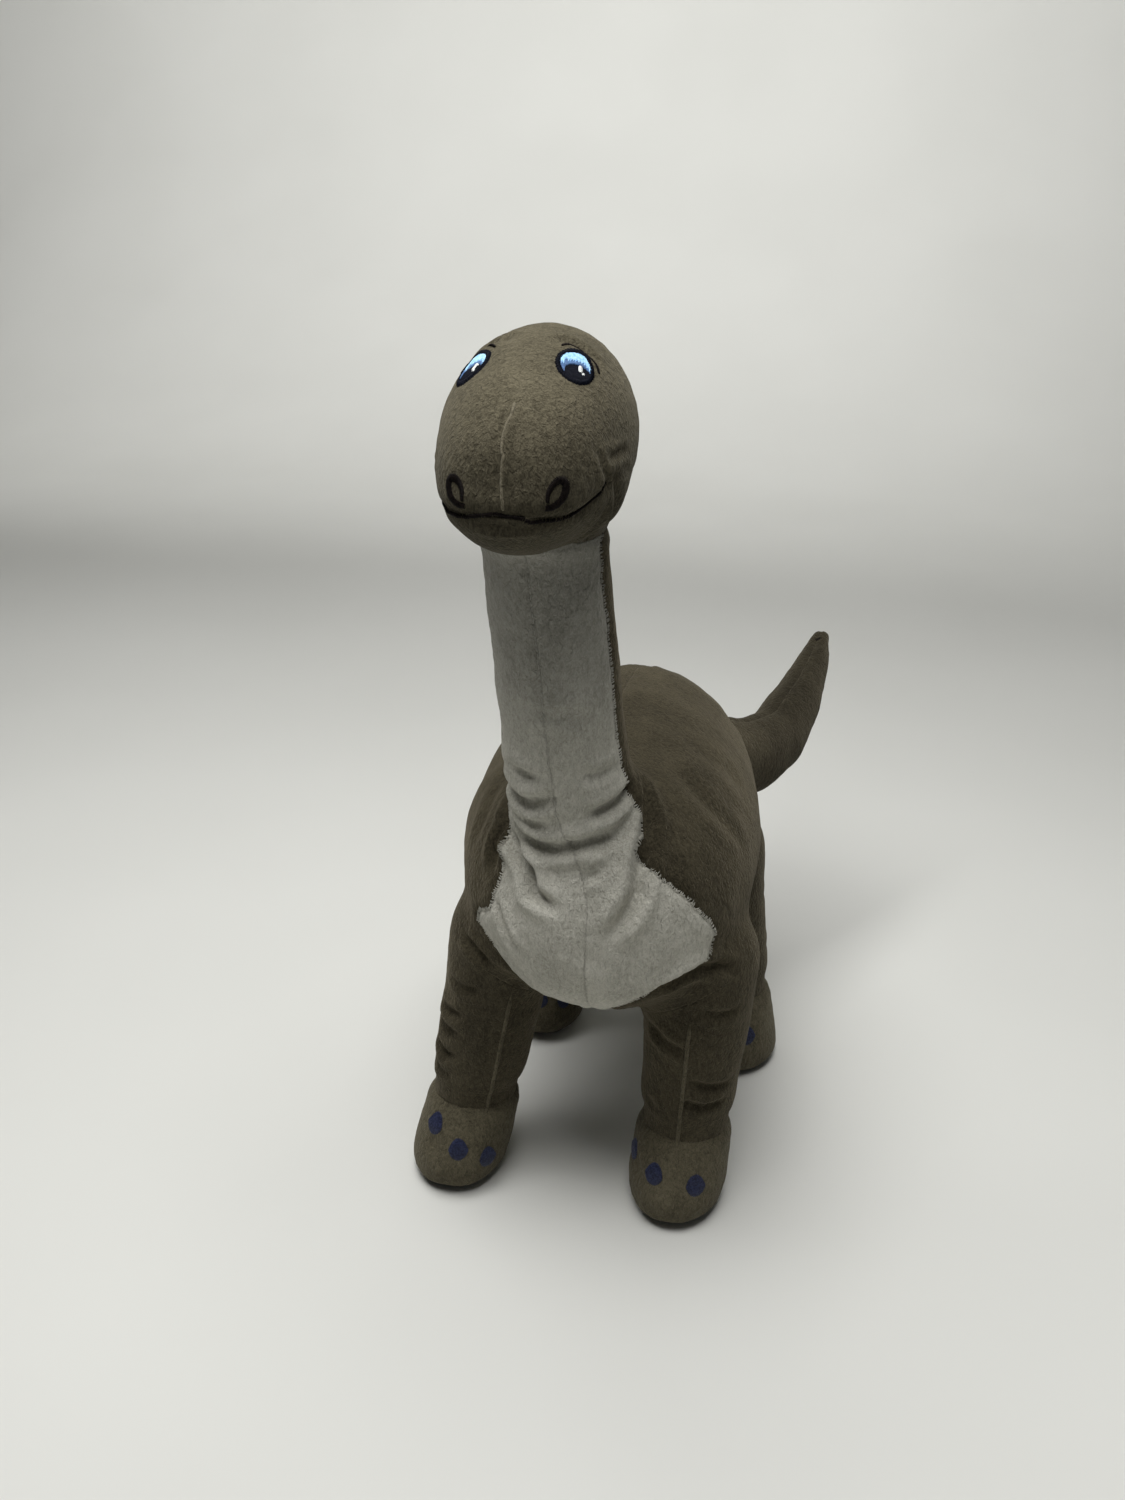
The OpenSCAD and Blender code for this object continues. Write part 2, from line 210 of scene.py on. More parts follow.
# %% [markdown]
# ## The stuffed form
#
# A sewn skin has no sharp joins: where a leg meets the body the fabric bridges the corner in a
# soft hollow. So the CAD solids are fused into one closed form by a voxel remesh, and the corners
# are relaxed. The torso solid has pockets for the limbs, so its skin is wrapped in a convex hull
# first, which closes them. The form could also be sculpted, or blown up by a cloth simulation, but
# a remesh keeps the drawn sizes and gives the same result every time.

# %% Copies of the CAD solids, welded
def welded_copy(names):
    """One bmesh holding copies of these CAD nodes with their loose triangles welded."""
    bm = bmesh.new()
    for name in names:
        bm.from_mesh(nodes[name].data)
    bmesh.ops.remove_doubles(bm, verts=bm.verts, dist=1e-5)
    return bm


def wrapped_copy(names):
    """The convex hull of these CAD nodes."""
    bm = welded_copy(names)
    hull = bmesh.ops.convex_hull(bm, input=bm.verts, use_existing_faces=False)
    unused = [g for g in hull["geom_interior"] + hull["geom_unused"]
        if isinstance(g, bmesh.types.BMVert)]
    bmesh.ops.delete(bm, geom=unused, context="VERTS")
    loose = [f for f in bm.faces if f.normal.length < 0.5]
    bmesh.ops.delete(bm, geom=loose, context="FACES_ONLY")
    return bm


LEGS = ["front_left", "front_right", "rear_left", "rear_right"]
solids = bmesh.new()
body_skins = ["body_left_panel", "body_right_panel", "belly_left_panel", "belly_right_panel"]
parts = [wrapped_copy(body_skins)]
parts.append(welded_copy(["neck_stuffing", "neck_front_left_panel", "neck_front_right_panel",
    "neck_back_left_panel", "neck_back_right_panel"]))
parts.append(wrapped_copy(["face_panel", "chin_panel", "head_back_left_panel",
    "head_back_right_panel"]))
parts.append(welded_copy(["tail_stuffing", "tail_left_panel", "tail_right_panel"]))
for leg in LEGS:
    parts.append(welded_copy([leg + "_stuffing", leg + "_outer_panel", leg + "_inner_panel",
        leg + "_foot_panel", leg + "_sole"]))
for bm in parts:
    scrap = bpy.data.meshes.new("scrap")
    bm.to_mesh(scrap)
    solids.from_mesh(scrap)
    bpy.data.meshes.remove(scrap)
    bm.free()
form = bpy.data.objects.new("form", bpy.data.meshes.new("form"))
solids.to_mesh(form.data)
solids.free()
bpy.context.scene.collection.objects.link(form)
print("solids joined", len(form.data.polygons))

# %% Fuse them
def baked(obj):
    """Replaces an object's mesh by its modified one."""
    deps = bpy.context.evaluated_depsgraph_get()
    mesh = bpy.data.meshes.new_from_object(obj.evaluated_get(deps))
    obj.modifiers.clear()
    old = obj.data
    obj.data = mesh
    bpy.data.meshes.remove(old)
    return obj


VOXEL = 0.0030
fuse = form.modifiers.new("fuse", "REMESH")
fuse.mode = "VOXEL"
fuse.voxel_size = VOXEL
baked(form)
print("fused", len(form.data.vertices), "points")

# %% Work on points as arrays, in the drawing's millimetres
DRAWN = np.array((-12.4, 132.8, 0.0))


def points_mm(mesh):
    co = np.empty(len(mesh.vertices) * 3)
    mesh.vertices.foreach_get("co", co)
    return co.reshape(-1, 3) * 1000 + DRAWN


def write_points(mesh, p):
    mesh.vertices.foreach_set("co", ((p - DRAWN) / 1000).ravel())
    mesh.update()


def normals_of(mesh):
    n = np.empty(len(mesh.vertices) * 3)
    mesh.vertex_normals.foreach_get("vector", n)
    return n.reshape(-1, 3)


def edges_of(mesh):
    e = np.empty(len(mesh.edges) * 2, dtype=np.int32)
    mesh.edges.foreach_get("vertices", e)
    return e.reshape(-1, 2)


def metres(p):
    return tuple((np.array(p, float) - DRAWN) / 1000)


def relaxed(p, edges, rounds, share):
    """Each point moves towards the mean of its neighbours by its share, round after round."""
    count = np.bincount(edges.ravel(), minlength=len(p))[:, None].clip(1)
    share = np.broadcast_to(np.asarray(share, float).reshape(-1, 1), (len(p), 1))
    for k in range(rounds):
        total = np.zeros_like(p)
        for axis in range(3):
            total[:, axis] = (np.bincount(edges[:, 0], p[edges[:, 1], axis], len(p))
                + np.bincount(edges[:, 1], p[edges[:, 0], axis], len(p)))
        p = p + share * (total / count - p)
    return p


def step(x, low, high):
    """0 below low, 1 above high, and a smooth rise between."""
    t = np.clip((x - low) / (high - low), 0, 1)
    return t * t * (3 - 2 * t)


# %% The lines that the body is built on, repeated from the CAD source
NECK_LINE = np.array([(-14, -8, 222), (-17, -11, 248), (-20, -16, 280), (-22, -22, 322),
    (-24, -28, 358), (-25, -31, 384)], float)
TAIL_LINE = np.array([(-2, 184, 178), (20, 208, 167), (40, 233, 160), (56, 263, 163),
    (66, 300, 177), (73, 336, 194), (76, 358, 206), (76.5, 363, 209)], float)
TORSO_LINE = np.array([(0, -52, 188), (-1, -30, 186), (-4, 4, 186), (-9, 35, 187),
    (-13, 80, 189), (-14, 120, 188), (-14, 155, 184), (-13, 203, 177)], float)
HEAD = np.array((-25, -40, 419), float)
LEG_TOP = {"front_left": (48, 8, 150), "front_right": (-58, 6, 150),
    "rear_left": (34, 130, 146), "rear_right": (-60, 132, 148)}
LEG_FOOT = {"front_left": (41, 6, 0), "front_right": (-84, 0, 0),
    "rear_left": (56, 140, 0), "rear_right": (-74, 144, 0)}
SEAM_TURN = {"front_left": 0, "front_right": 30, "rear_left": 0, "rear_right": 0}
SIDE = {"front_left": 1, "front_right": -1, "rear_left": 1, "rear_right": -1}


def along_line(line, values, axis):
    """A line's points where its given axis takes these values."""
    return np.stack([np.interp(values, line[:, axis], line[:, k]) for k in range(3)], -1)


def leg_axis(leg, p):
    """The leg's middle line at each point's height."""
    top, foot = np.array(LEG_TOP[leg], float), np.array(LEG_FOOT[leg], float)
    t = np.clip(p[:, 2] / top[2], 0, 1.2)[:, None]
    return foot + (top - foot) * t


def off_axis(p, axis_points):
    d = (p - axis_points)[:, :2]
    return np.hypot(d[:, 0], d[:, 1])


# %% Relax the corners where limbs join
p = points_mm(form.data)
edges = edges_of(form.data)
corner = np.zeros(len(p))
for leg in LEGS:
    top = np.array(LEG_TOP[leg], float)
    corner = np.maximum(corner, step(-np.abs(p[:, 2] - 140), -42, -18)
        * step(-np.linalg.norm(p - top, axis=1), -62, -40))
corner = np.maximum(corner, step(-np.linalg.norm(p - (-13, -6, 240), axis=1), -62, -34))
corner = np.maximum(corner, step(-np.linalg.norm(p - (18, 203, 166), axis=1), -62, -36))
corner = np.maximum(corner, 0.55 * step(-np.linalg.norm(p - (-25, -33, 382), axis=1), -46, -34))
p = relaxed(p, edges, 30, 0.5 * corner)
p = relaxed(p, edges, 4, 0.5)
write_points(form.data, p)
print("relaxed", p.min(0).round(1), p.max(0).round(1))

# %% [markdown]
# ## Where the seams run
#
# A seam is the place where one panel ends and the next begins. Each one is written as a function
# that gives, for every point, how far it lies from the seam in millimetres: positive on one side,
# negative on the other. The same functions then cut the form along the seams and say which panel
# a face belongs to. Seams could be marked by hand on the mesh, but then every change to the form
# would lose them.

# %% Seams of the body and neck
BIB_SIDES = {
    1: np.array([(160, 52), (170, 52), (176, 56), (184, 57.5), (193, 54.5), (207, 44.5), (217, 32),
        (229, 17), (240, 11)], float),
    -1: np.array([(158, 50), (167, 58), (174, 63.5), (181, 61), (188, 52.5), (199, 50), (210, 46),
        (222, 45), (240, 44.5)], float)}
BIB_HEM = np.array([(-64, 172), (-58, 166), (-50, 159), (-40, 152.5), (-30, 147), (-16, 142.5),
    (0, 139), (10, 142), (23, 153), (35, 163), (44, 167), (52, 170), (57, 176)], float)
BELLY_EDGE = np.array([(-44, 8), (-34, 10), (-14, 16), (14, 30), (40, 42), (80, 44), (115, 42),
    (140, 33), (160, 20), (172, 8), (186, -30)], float)


def middle_seam(p):
    """Left of the animal's middle is positive."""
    neck = along_line(NECK_LINE, p[:, 2], 2)[:, 0]
    torso = along_line(TORSO_LINE, p[:, 1], 1)[:, 0]
    rise = step(p[:, 2], 200, 250) * (1 - step(p[:, 1], 20, 55))
    return p[:, 0] - torso - (neck - torso) * rise


def pale_field(p):
    """Positive on the pale panels: the neck's front, the bib and the belly."""
    centre = along_line(TORSO_LINE, p[:, 1], 1)
    d = p - centre
    r = np.hypot(d[:, 0], d[:, 2])
    angle = np.degrees(np.arctan2(np.abs(d[:, 0]), -d[:, 2]))
    belly = np.radians(np.interp(p[:, 1], BELLY_EDGE[:, 0], BELLY_EDGE[:, 1]) - angle) * r
    side = np.where(p[:, 0] > -5, 1, -1)
    reach = np.where(side > 0, np.interp(p[:, 2], BIB_SIDES[1][:, 0], BIB_SIDES[1][:, 1]),
        np.interp(p[:, 2], BIB_SIDES[-1][:, 0], BIB_SIDES[-1][:, 1]))
    hem = p[:, 2] - np.interp(p[:, 0], BIB_HEM[:, 0], BIB_HEM[:, 1])
    bib = np.minimum(np.minimum(reach - side * p[:, 0], hem), -12 - p[:, 1])
    neck = along_line(NECK_LINE, p[:, 2], 2)[:, 1] - 7.5 - p[:, 1]
    low = np.maximum(bib, belly)
    return low + (neck - low) * step(p[:, 2], 226, 244)


# %% Seams of the head
MOUTH_EDGE = np.array([(-60, -17.5), (-50, -18), (-40, -18), (-25, -9.5), (-10, -5.5),
    (3, -3.6), (30, -3)], float)


def chin_field(p):
    """Positive below the mouth and in front of the jaw."""
    d = p - HEAD
    mouth = np.interp(d[:, 1], MOUTH_EDGE[:, 0], MOUTH_EDGE[:, 1]) - d[:, 2]
    jaw = -21 + 0.46 * (-10 - d[:, 2]) - d[:, 1]
    return np.minimum(mouth, jaw)


def head_back_field(p):
    return p[:, 1] - HEAD[1] - 24


def head_middle(p):
    return p[:, 0] - HEAD[0]


# %% Where one body ends and the next begins
def head_field(p):
    wide = 32 + 60 * step(-p[:, 2], -372, -362)
    off = off_axis(p, along_line(NECK_LINE, p[:, 2], 2))
    return -np.minimum(381 - p[:, 2], wide - off)


TAIL_WAY = np.array((0.6, 0.75, -0.28)) / np.linalg.norm((0.6, 0.75, -0.28))
TAIL_CUT = np.array((-2, 184, 178)) + 27 * TAIL_WAY


def tail_field(p):
    return (p - TAIL_CUT) @ TAIL_WAY


def tail_middle(p):
    return p[:, 0] - along_line(TAIL_LINE, p[:, 1], 1)[:, 0]


def leg_way(leg):
    way = np.array((0.57 * SIDE[leg], 0, -0.82))
    return way / np.linalg.norm(way)


def leg_field(leg, p):
    """Positive on the leg, below a slanting cut that runs from the shoulder to the groin."""
    cut = (p - (np.array(LEG_TOP[leg], float) - (0, 0, 8))) @ leg_way(leg)
    wide = 36 + 60 * step(-p[:, 2], -118, -104)
    return np.minimum(cut, wide - off_axis(p, leg_axis(leg, p)))


def leg_seam(leg, p):
    """The seam down the front and the back of a leg; outwards is positive."""
    a = math.radians(SEAM_TURN[leg])
    d = p - leg_axis(leg, p)
    return SIDE[leg] * (d[:, 0] * math.cos(a) + d[:, 1] * math.sin(a))


ANKLE = 47


def ankle_field(leg, p):
    """Positive above the foot: the seam dips towards the heel."""
    d = p - leg_axis(leg, p)
    return p[:, 2] - ANKLE + 0.12 * d[:, 1]


SOLE = 3.0


# %% Which body a point belongs to
def near_leg(leg, p):
    return off_axis(p, leg_axis(leg, p)) < 75


def body_index(p):
    """0 torso and neck, 1 head, 2 tail, 3 to 6 the legs."""
    body = np.zeros(len(p), int)
    body[(p[:, 1] > 160) & (tail_field(p) > 0)] = 2
    for k, leg in enumerate(LEGS):
        ours = near_leg(leg, p) & (p[:, 2] < 190)
        others = [off_axis(p, leg_axis(o, p)) for o in LEGS]
        closest = np.argmin(others, 0) == k
        body[ours & closest & (leg_field(leg, p) > 0)] = 3 + k
    body[(p[:, 2] > 345) & (head_field(p) > 0)] = 1
    return body


# %% Which panel a point belongs to
PANELS = ["body_left", "body_right", "bib_left", "bib_right", "face", "chin", "head_back_left",
    "head_back_right", "tail_left", "tail_right"]
for leg in LEGS:
    PANELS += [leg + "_outer", leg + "_inner", leg + "_foot", leg + "_sole"]


def panel_index(p):
    body = body_index(p)
    left = middle_seam(p) > 0
    panel = np.where(left, 0, 1) + np.where(pale_field(p) > 0, 2, 0)
    head = np.where(chin_field(p) > 0, 5, 4)
    behind = head_back_field(p) > 0
    head[behind] = np.where(head_middle(p[behind]) > 0, 6, 7)
    panel[body == 1] = head[body == 1]
    panel[body == 2] = np.where(tail_middle(p[body == 2]) > 0, 8, 9)
    for k, leg in enumerate(LEGS):
        ours = body == 3 + k
        q = p[ours]
        kind = np.where(leg_seam(leg, q) > 0, 0, 1)
        kind[ankle_field(leg, q) < 0] = 2
        kind[q[:, 2] < SOLE] = 3
        panel[ours] = 10 + 4 * k + kind
    return panel


# %% [markdown]
# ## Cut the form along its seams
#
# Every edge that crosses a seam gets a new point exactly on it, and new edges join those points
# across the faces, so the seam becomes a clean line in the mesh. Points that already lie close to
# a seam are slid onto it first, which avoids slivers. A knife or a boolean per panel would cut too,
# but here all panels come from one mesh, so neighbours share their edge exactly.

# %% The cutter
def cut_along(bm, field, where):
    """Adds a line of edges where field is 0, among the points where `where` holds."""
    bm.verts.ensure_lookup_table()
    p = np.array([v.co for v in bm.verts]) * 1000 + DRAWN
    f = field(p)
    live = where(p)
    points = list(bm.verts)
    lines = list(bm.edges)
    pairs = np.array([(e.verts[0].index, e.verts[1].index) for e in lines])
    crossing = live[pairs].all(1) & (f[pairs[:, 0]] * f[pairs[:, 1]] < 0)
    crossed = pairs[crossing]
    share = f[crossed[:, 0]] / (f[crossed[:, 0]] - f[crossed[:, 1]])
    on_line = set()
    for (a, b), t in zip(crossed, share):
        if t < 0.22 and a not in on_line:
            points[a].co = points[a].co.lerp(points[b].co, t)
            f[a] = 0
            on_line.add(a)
        elif t > 0.78 and b not in on_line:
            points[b].co = points[b].co.lerp(points[a].co, 1 - t)
            f[b] = 0
            on_line.add(b)
    new = [points[i] for i in on_line]
    for index in np.flatnonzero(crossing):
        a, b = pairs[index]
        if f[a] * f[b] < 0:
            _, made = bmesh.utils.edge_split(lines[index], points[a], f[a] / (f[a] - f[b]))
            new.append(made)
    bmesh.ops.connect_verts(bm, verts=new)
    bm.verts.index_update()
    return len(new)


def cut_all_seams(bm):
    count = cut_along(bm, head_field, lambda p: (p[:, 2] > 350) & (p[:, 2] < 400))
    for leg in LEGS:
        count += cut_along(bm, lambda p, leg=leg: leg_field(leg, p),
            lambda p, leg=leg: near_leg(leg, p) & (p[:, 2] < 185)
            & (np.argmin([off_axis(p, leg_axis(o, p)) for o in LEGS], 0) == LEGS.index(leg)))
    count += cut_along(bm, tail_field, lambda p: (p[:, 1] > 160) & (p[:, 2] > 100))
    count += cut_along(bm, middle_seam, lambda p: body_index(p) == 0)
    count += cut_along(bm, pale_field, lambda p: body_index(p) == 0)
    for k, leg in enumerate(LEGS):
        ours = lambda p, k=k: body_index(p) == 3 + k
        count += cut_along(bm, lambda p, leg=leg: ankle_field(leg, p), ours)
        count += cut_along(bm, lambda p: p[:, 2] - SOLE, ours)
        count += cut_along(bm, lambda p, leg=leg: leg_seam(leg, p),
            lambda p, k=k, leg=leg: (body_index(p) == 3 + k) & (ankle_field(leg, p) > -0.5))
    count += cut_along(bm, tail_middle, lambda p: body_index(p) == 2)
    head = lambda p: (p[:, 2] > 345) & (body_index(p) == 1)
    count += cut_along(bm, head_back_field, head)
    count += cut_along(bm, head_middle, lambda p: head(p) & (head_back_field(p) > -0.5))
    count += cut_along(bm, chin_field, lambda p: head(p) & (head_back_field(p) < 0.5))
    return count


# %% Cut, name each face's panel, and make the mesh finer
bm = bmesh.new()
bm.from_mesh(form.data)
print("seam points", cut_all_seams(bm))
bm.faces.ensure_lookup_table()
centres = np.array([f.calc_center_median() for f in bm.faces]) * 1000 + DRAWN
for face, panel in zip(bm.faces, panel_index(centres)):
    face.material_index = int(panel)
bm.to_mesh(form.data)
bm.free()
for name in PANELS:
    form.data.materials.append(None)
finer = form.modifiers.new("finer", "SUBSURF")
finer.levels = 1
finer.render_levels = 1
baked(form)
print("finer", len(form.data.polygons), "faces")

# %% [markdown]
# ## Seam hollows, puckers and folds
#
# Thread pulls a seam below the cloth around it, so each seam lies in a small valley with the
# stuffing swelling beside it, and the cloth puckers where the thread gathers it. Folds come where
# the toy bends under its own weight: across the base of the neck, over the shoulders, down the
# legs. A fold is given as a few points; its valley follows the line through them. All this could
# be a bump in the material, but folds of this size show in the outline and throw shadows, so the
# points of the mesh are moved.

# %% Seams as lines of points
def seam_points(mesh):
    """Points on edges between two panels, and which pairs of panels they part."""
    panel = np.empty(len(mesh.polygons), np.int32)
    mesh.polygons.foreach_get("material_index", panel)
    bm = bmesh.new()
    bm.from_mesh(mesh)
    found = []
    for edge in bm.edges:
        if len(edge.link_faces) == 2:
            a, b = (f.material_index for f in edge.link_faces)
            if a != b:
                found.append((edge.verts[0].index, edge.verts[1].index, min(a, b), max(a, b)))
    bm.free()
    return np.array(found)


def nearest_distance(targets, p, reach):
    """Distance from each point to the nearest target, and that target's number."""
    tree = KDTree(len(targets))
    for i, t in enumerate(targets):
        tree.insert(t, i)
    tree.balance()
    distance = np.full(len(p), reach)
    index = np.zeros(len(p), int)
    for i, q in enumerate(p):
        _, k, d = tree.find(q)
        if d < reach:
            distance[i] = d
            index[i] = k
    return distance, index


p = points_mm(form.data)
edges = edges_of(form.data)
seams = seam_points(form.data)
TORSO_LEG = [(a, 10 + 4 * k + j) for a in range(4) for k in range(4) for j in (0, 1)]
soft = np.array([(a, b) in TORSO_LEG or (a, b) in ((0, 8), (1, 9), (0, 9), (1, 8))
    for a, b in seams[:, 2:]])
sewn = seams[~soft]
sewn_middles = (p[sewn[:, 0]] + p[sewn[:, 1]]) / 2
print("seams", len(seams), "sewn", len(sewn))

# %% Folds
def bumpy(q, scale, seed=0):
    """Smooth noise between about -1 and 1 at each point; scale is the size of its lumps in mm."""
    out = np.empty(len(q))
    for i, v in enumerate(q):
        out[i] = noise.noise((v[0] / scale + seed * 17.3, v[1] / scale, v[2] / scale))
    return out


def fold_depth(p, path, width, depth, shoulder=0.6, fade=0.3):
    """A valley along a path of points, with a swelling on both sides, fading at the ends."""
    path = np.array(path, float)
    best = np.full(len(p), 1e9)
    place = np.zeros(len(p))
    lengths = np.linalg.norm(np.diff(path, axis=0), axis=1)
    total = lengths.sum()
    done = 0.0
    for a, b, length in zip(path[:-1], path[1:], lengths):
        t = np.clip((p - a) @ (b - a) / length ** 2, 0, 1)
        d = np.linalg.norm(p - a - t[:, None] * (b - a), axis=1)
        closer = d < best
        best[closer] = d[closer]
        place[closer] = (done + t[closer] * length) / total
        done += length
    ends = step(place, 0, fade) * (1 - step(place, 1 - fade, 1))
    valley = -np.exp(-(best / width) ** 2)
    sides = shoulder * np.exp(-((best - 2.1 * width) / (1.1 * width)) ** 2)
    return depth * ends * (valley + sides)


# %% The folds of this toy: a path in the drawing's millimetres, then a width and a depth
# the base of the neck: the cloth is squeezed into rolls
NECK_FOLDS = [
    ([(-50, -16, 260), (-44, -28, 254), (-34, -37, 250), (-21, -42, 256), (-12, -43, 258)],
        3.0, 3.325),
    ([(19, -8, 260), (13, -20, 255), (9.5, -26, 252.5), (4.6, -32, 250.4), (-7, -39, 248)],
        3.0, 3.5),
    ([(-50, -12, 242), (-44, -24, 234), (-37, -31, 229), (-26, -37, 228), (-16, -39, 230),
        (-10, -39, 232), (0, -37, 234.5), (10, -31, 237), (18, -20, 242)], 3.2, 3.85),
    ([(-49, -14, 236), (-43, -25, 226), (-38.6, -31.4, 221.7), (-31.5, -39, 216),
        (-27.6, -44, 206.8), (-18, -49, 203.8), (-10, -50, 200)], 3.0, 5.6),
    ([(24, -20, 236), (22, -30, 227), (21.3, -36, 218), (21.5, -40.4, 212.4), (16.8, -46.7, 200.9),
        (8, -50, 187)], 3.4, 5.25),
    ([(-50, -34, 197), (-45.9, -39.7, 189.9), (-39.3, -45.2, 179.2), (-33, -47, 171)], 2.6, 2.975),
    ([(-42, -22, 277), (-33, -40, 267), (-22, -43, 267)], 2.8, 2.45),
    ([(6, -30, 222), (2, -40, 219), (-6, -44, 218)], 2.6, 1.75),
    ([(-40, -20, 244), (-30, -38, 241), (-20, -41, 243)], 2.4, 1.925),
    ([(10, -24, 270), (2, -36, 268), (-8, -42, 270)], 3.0, 1.575),
    ([(-46, -8, 300), (-30, -42, 303), (-10, -44, 300), (4, -26, 297)], 4.0, 1.05)]
# where the neck sinks between the shoulders, and the drag of the cloth over them
SHOULDER_FOLDS = [
    ([(14, 6, 262), (19, -8, 250), (22, -17, 239), (22, -27, 229)], 3.0, 4.48),
    ([(-48, 0, 246), (-50, -10, 238), (-49, -18, 228), (-53, -27, 211), (-53, -31, 202)], 3.0, 4.2),
    ([(-62, 14, 240), (-66, -2, 224), (-67, -12, 206)], 4.5, 1.7),
    ([(18, 26, 256), (31, 20, 246), (46, 14, 236), (56, 15, 224), (66, 22, 200)], 5.0, 1.3),
    ([(26, 48, 258), (46, 50, 244), (62, 58, 222)], 6.5, 1.1),
    ([(-44, 26, 254), (-62, 34, 236), (-78, 50, 208)], 6.0, 1.3),
    ([(36, -18, 222), (50, -10, 210), (62, 0, 190)], 4.5, 0.8)]
# between the bib and the tops of the legs
GROIN_FOLDS = [
    ([(26, -42, 151), (35, -40, 159), (44, -34, 163), (52, -27, 166), (61, -18, 163),
        (70, -9, 156)], 3.0, 3.36),
    ([(-16, -46, 138), (-30, -42, 143), (-46, -32, 152), (-58, -26, 160)], 3.0, 2.66),
    ([(-74, -16, 160), (-66, -23, 154), (-55, -26, 146)], 2.6, 2.52)]
LEG_FOLDS = [
    ([(22, -8, 118), (34, -20, 112), (50, -21, 108)], 2.8, 1.82),
    ([(44, -22, 92), (58, -16, 86), (70, -4, 83)], 3.0, 2.38),
    ([(40, -20, 78), (56, -18, 74), (68, -6, 76)], 2.6, 1.68),
    ([(20, -8, 70), (30, -20, 66), (42, -22, 68)], 2.6, 1.26),
    ([(48, -24, 138), (60, -20, 134), (72, -8, 134)], 2.8, 1.68),
    ([(-98, -8, 112), (-84, -18, 108), (-68, -21, 112)], 2.6, 2.38),
    ([(-98, -6, 100), (-86, -17, 96), (-70, -20, 98)], 2.6, 1.68),
    ([(-100, -8, 86), (-86, -18, 80), (-72, -21, 84)], 2.6, 2.38),
    ([(-98, -8, 70), (-88, -18, 67), (-78, -22, 69)], 2.4, 1.4),
    ([(-90, -16, 132), (-76, -22, 128), (-60, -24, 130)], 2.8, 1.96)]
TAIL_FOLDS = [
    ([(2, 176, 208), (18, 184, 204), (34, 192, 190)], 5.0, 1.6),
    ([(34, 226, 184), (52, 232, 176), (58, 236, 160)], 4.5, 0.84)]
# a dart pinches a ridge down the nose, with a small pucker across its top
NOSE_FOLDS = [
    ([(-22.6, -78, 440), (-22, -82.3, 436), (-22.6, -89.2, 429), (-21.6, -94.3, 418.4),
        (-21.9, -97, 404)], 1.3, -1.1),
    ([(-24.8, -78, 440), (-24.4, -82.3, 436), (-25.2, -89.2, 429), (-24.2, -94.3, 418.4),
        (-24.2, -97, 406)], 1.3, 1.1),
    ([(-28, -77, 440), (-24, -78, 439), (-19, -77, 440.5)], 1.3, 0.5)]
# the corner of the mouth, the cheek's pucker, the lower lip and the jaw
CHEEK_FOLDS = [
    ([(7.6, -71, 425), (9.5, -69.6, 415), (9.9, -66, 410.3), (8.2, -68, 404)], 1.6, 1.1),
    ([(8.6, -69, 419.5), (11.3, -61.8, 418.6), (13.2, -53, 419.5), (14, -44, 418)], 1.5, 1.0),
    ([(10, -66, 413), (12, -58, 411), (13.6, -50, 412), (14.4, -42, 408)], 1.5, 0.6),
    ([(9.6, -64.6, 406.2), (5, -62, 396), (-2, -59.3, 388.2), (-9, -55, 381)], 1.8, 1.2)]
LIP_FOLDS = [
    ([(-38.9, -93.9, 399.5), (-27.2, -96.7, 397.4), (-14.9, -95.5, 397.4), (-7, -91, 397.6)],
        1.5, 0.9)]
BROW_FOLDS = [
    ([(-18, -46, 458), (-13, -41, 458), (-7, -40, 456), (-1.6, -41, 451.5), (3, -43, 447)],
        2.0, 1.3)]


def mirrored(folds, share=1.0):
    """These folds, and shallower ones on the other side of the head's middle."""
    flipped = [([(2 * HEAD[0] - x, y, z) for x, y, z in path], width, depth * share)
        for path, width, depth in folds]
    return folds + flipped


FOLDS = NECK_FOLDS + SHOULDER_FOLDS + GROIN_FOLDS + LEG_FOLDS + TAIL_FOLDS + NOSE_FOLDS
FOLDS += mirrored(CHEEK_FOLDS, 0.5) + LIP_FOLDS + mirrored(BROW_FOLDS)

# %% Add the folds up, with three more around each rear leg
lift = np.zeros(len(p))
for path, width, depth in FOLDS:
    lift += fold_depth(p, path, width, depth)
for leg in LEGS[2:]:
    for k, (height, turned) in enumerate([(112, 1), (92, -1), (74, 1)]):
        axis = leg_axis(leg, np.array([(0, 0, height)]))[0]
        ring = [axis + (27 * turned * math.cos(a), -27 * math.sin(a) * (1 if k % 2 else -1),
            4 * math.sin(2 * a)) for a in np.radians((0, 30, 60, 90, 115))]
        lift += fold_depth(p, ring, 3.0, 1.4)
print("folds", lift.min().round(2), lift.max().round(2))

# %% Seam valleys, puckers and the lumps of the stuffing
kinds = np.array([PANELS[b].endswith("_inner") and PANELS[a].endswith("_outer")
    for a, b in sewn[:, 2:]])
ankles = np.array([PANELS[b].endswith("_foot") for a, b in sewn[:, 2:]])
seam_distance, nearest = nearest_distance(sewn_middles, p, 30.0)
leg_ridge = kinds[nearest] * 1.0
ankle = ankles[nearest] * 1.0
mid_bib = ((sewn[:, 2] == 2) & (sewn[:, 3] == 3))[nearest] * 1.0
pull = 1.0 - 1.7 * leg_ridge - 0.45 * ankle - 0.6 * mid_bib
valley = -1.05 * pull * np.exp(-(seam_distance / 1.8) ** 2)
swell = 0.5 * (1 - leg_ridge) * np.exp(-((seam_distance - 5.5) / 3.6) ** 2)
pucker = 0.6 * np.exp(-(seam_distance / 7.0)) * bumpy(p, 5.0, 1)
lumps = 0.9 * bumpy(p, 34.0, 2) + 0.45 * bumpy(p, 15.0, 3) + 0.16 * bumpy(p, 6.0, 4)

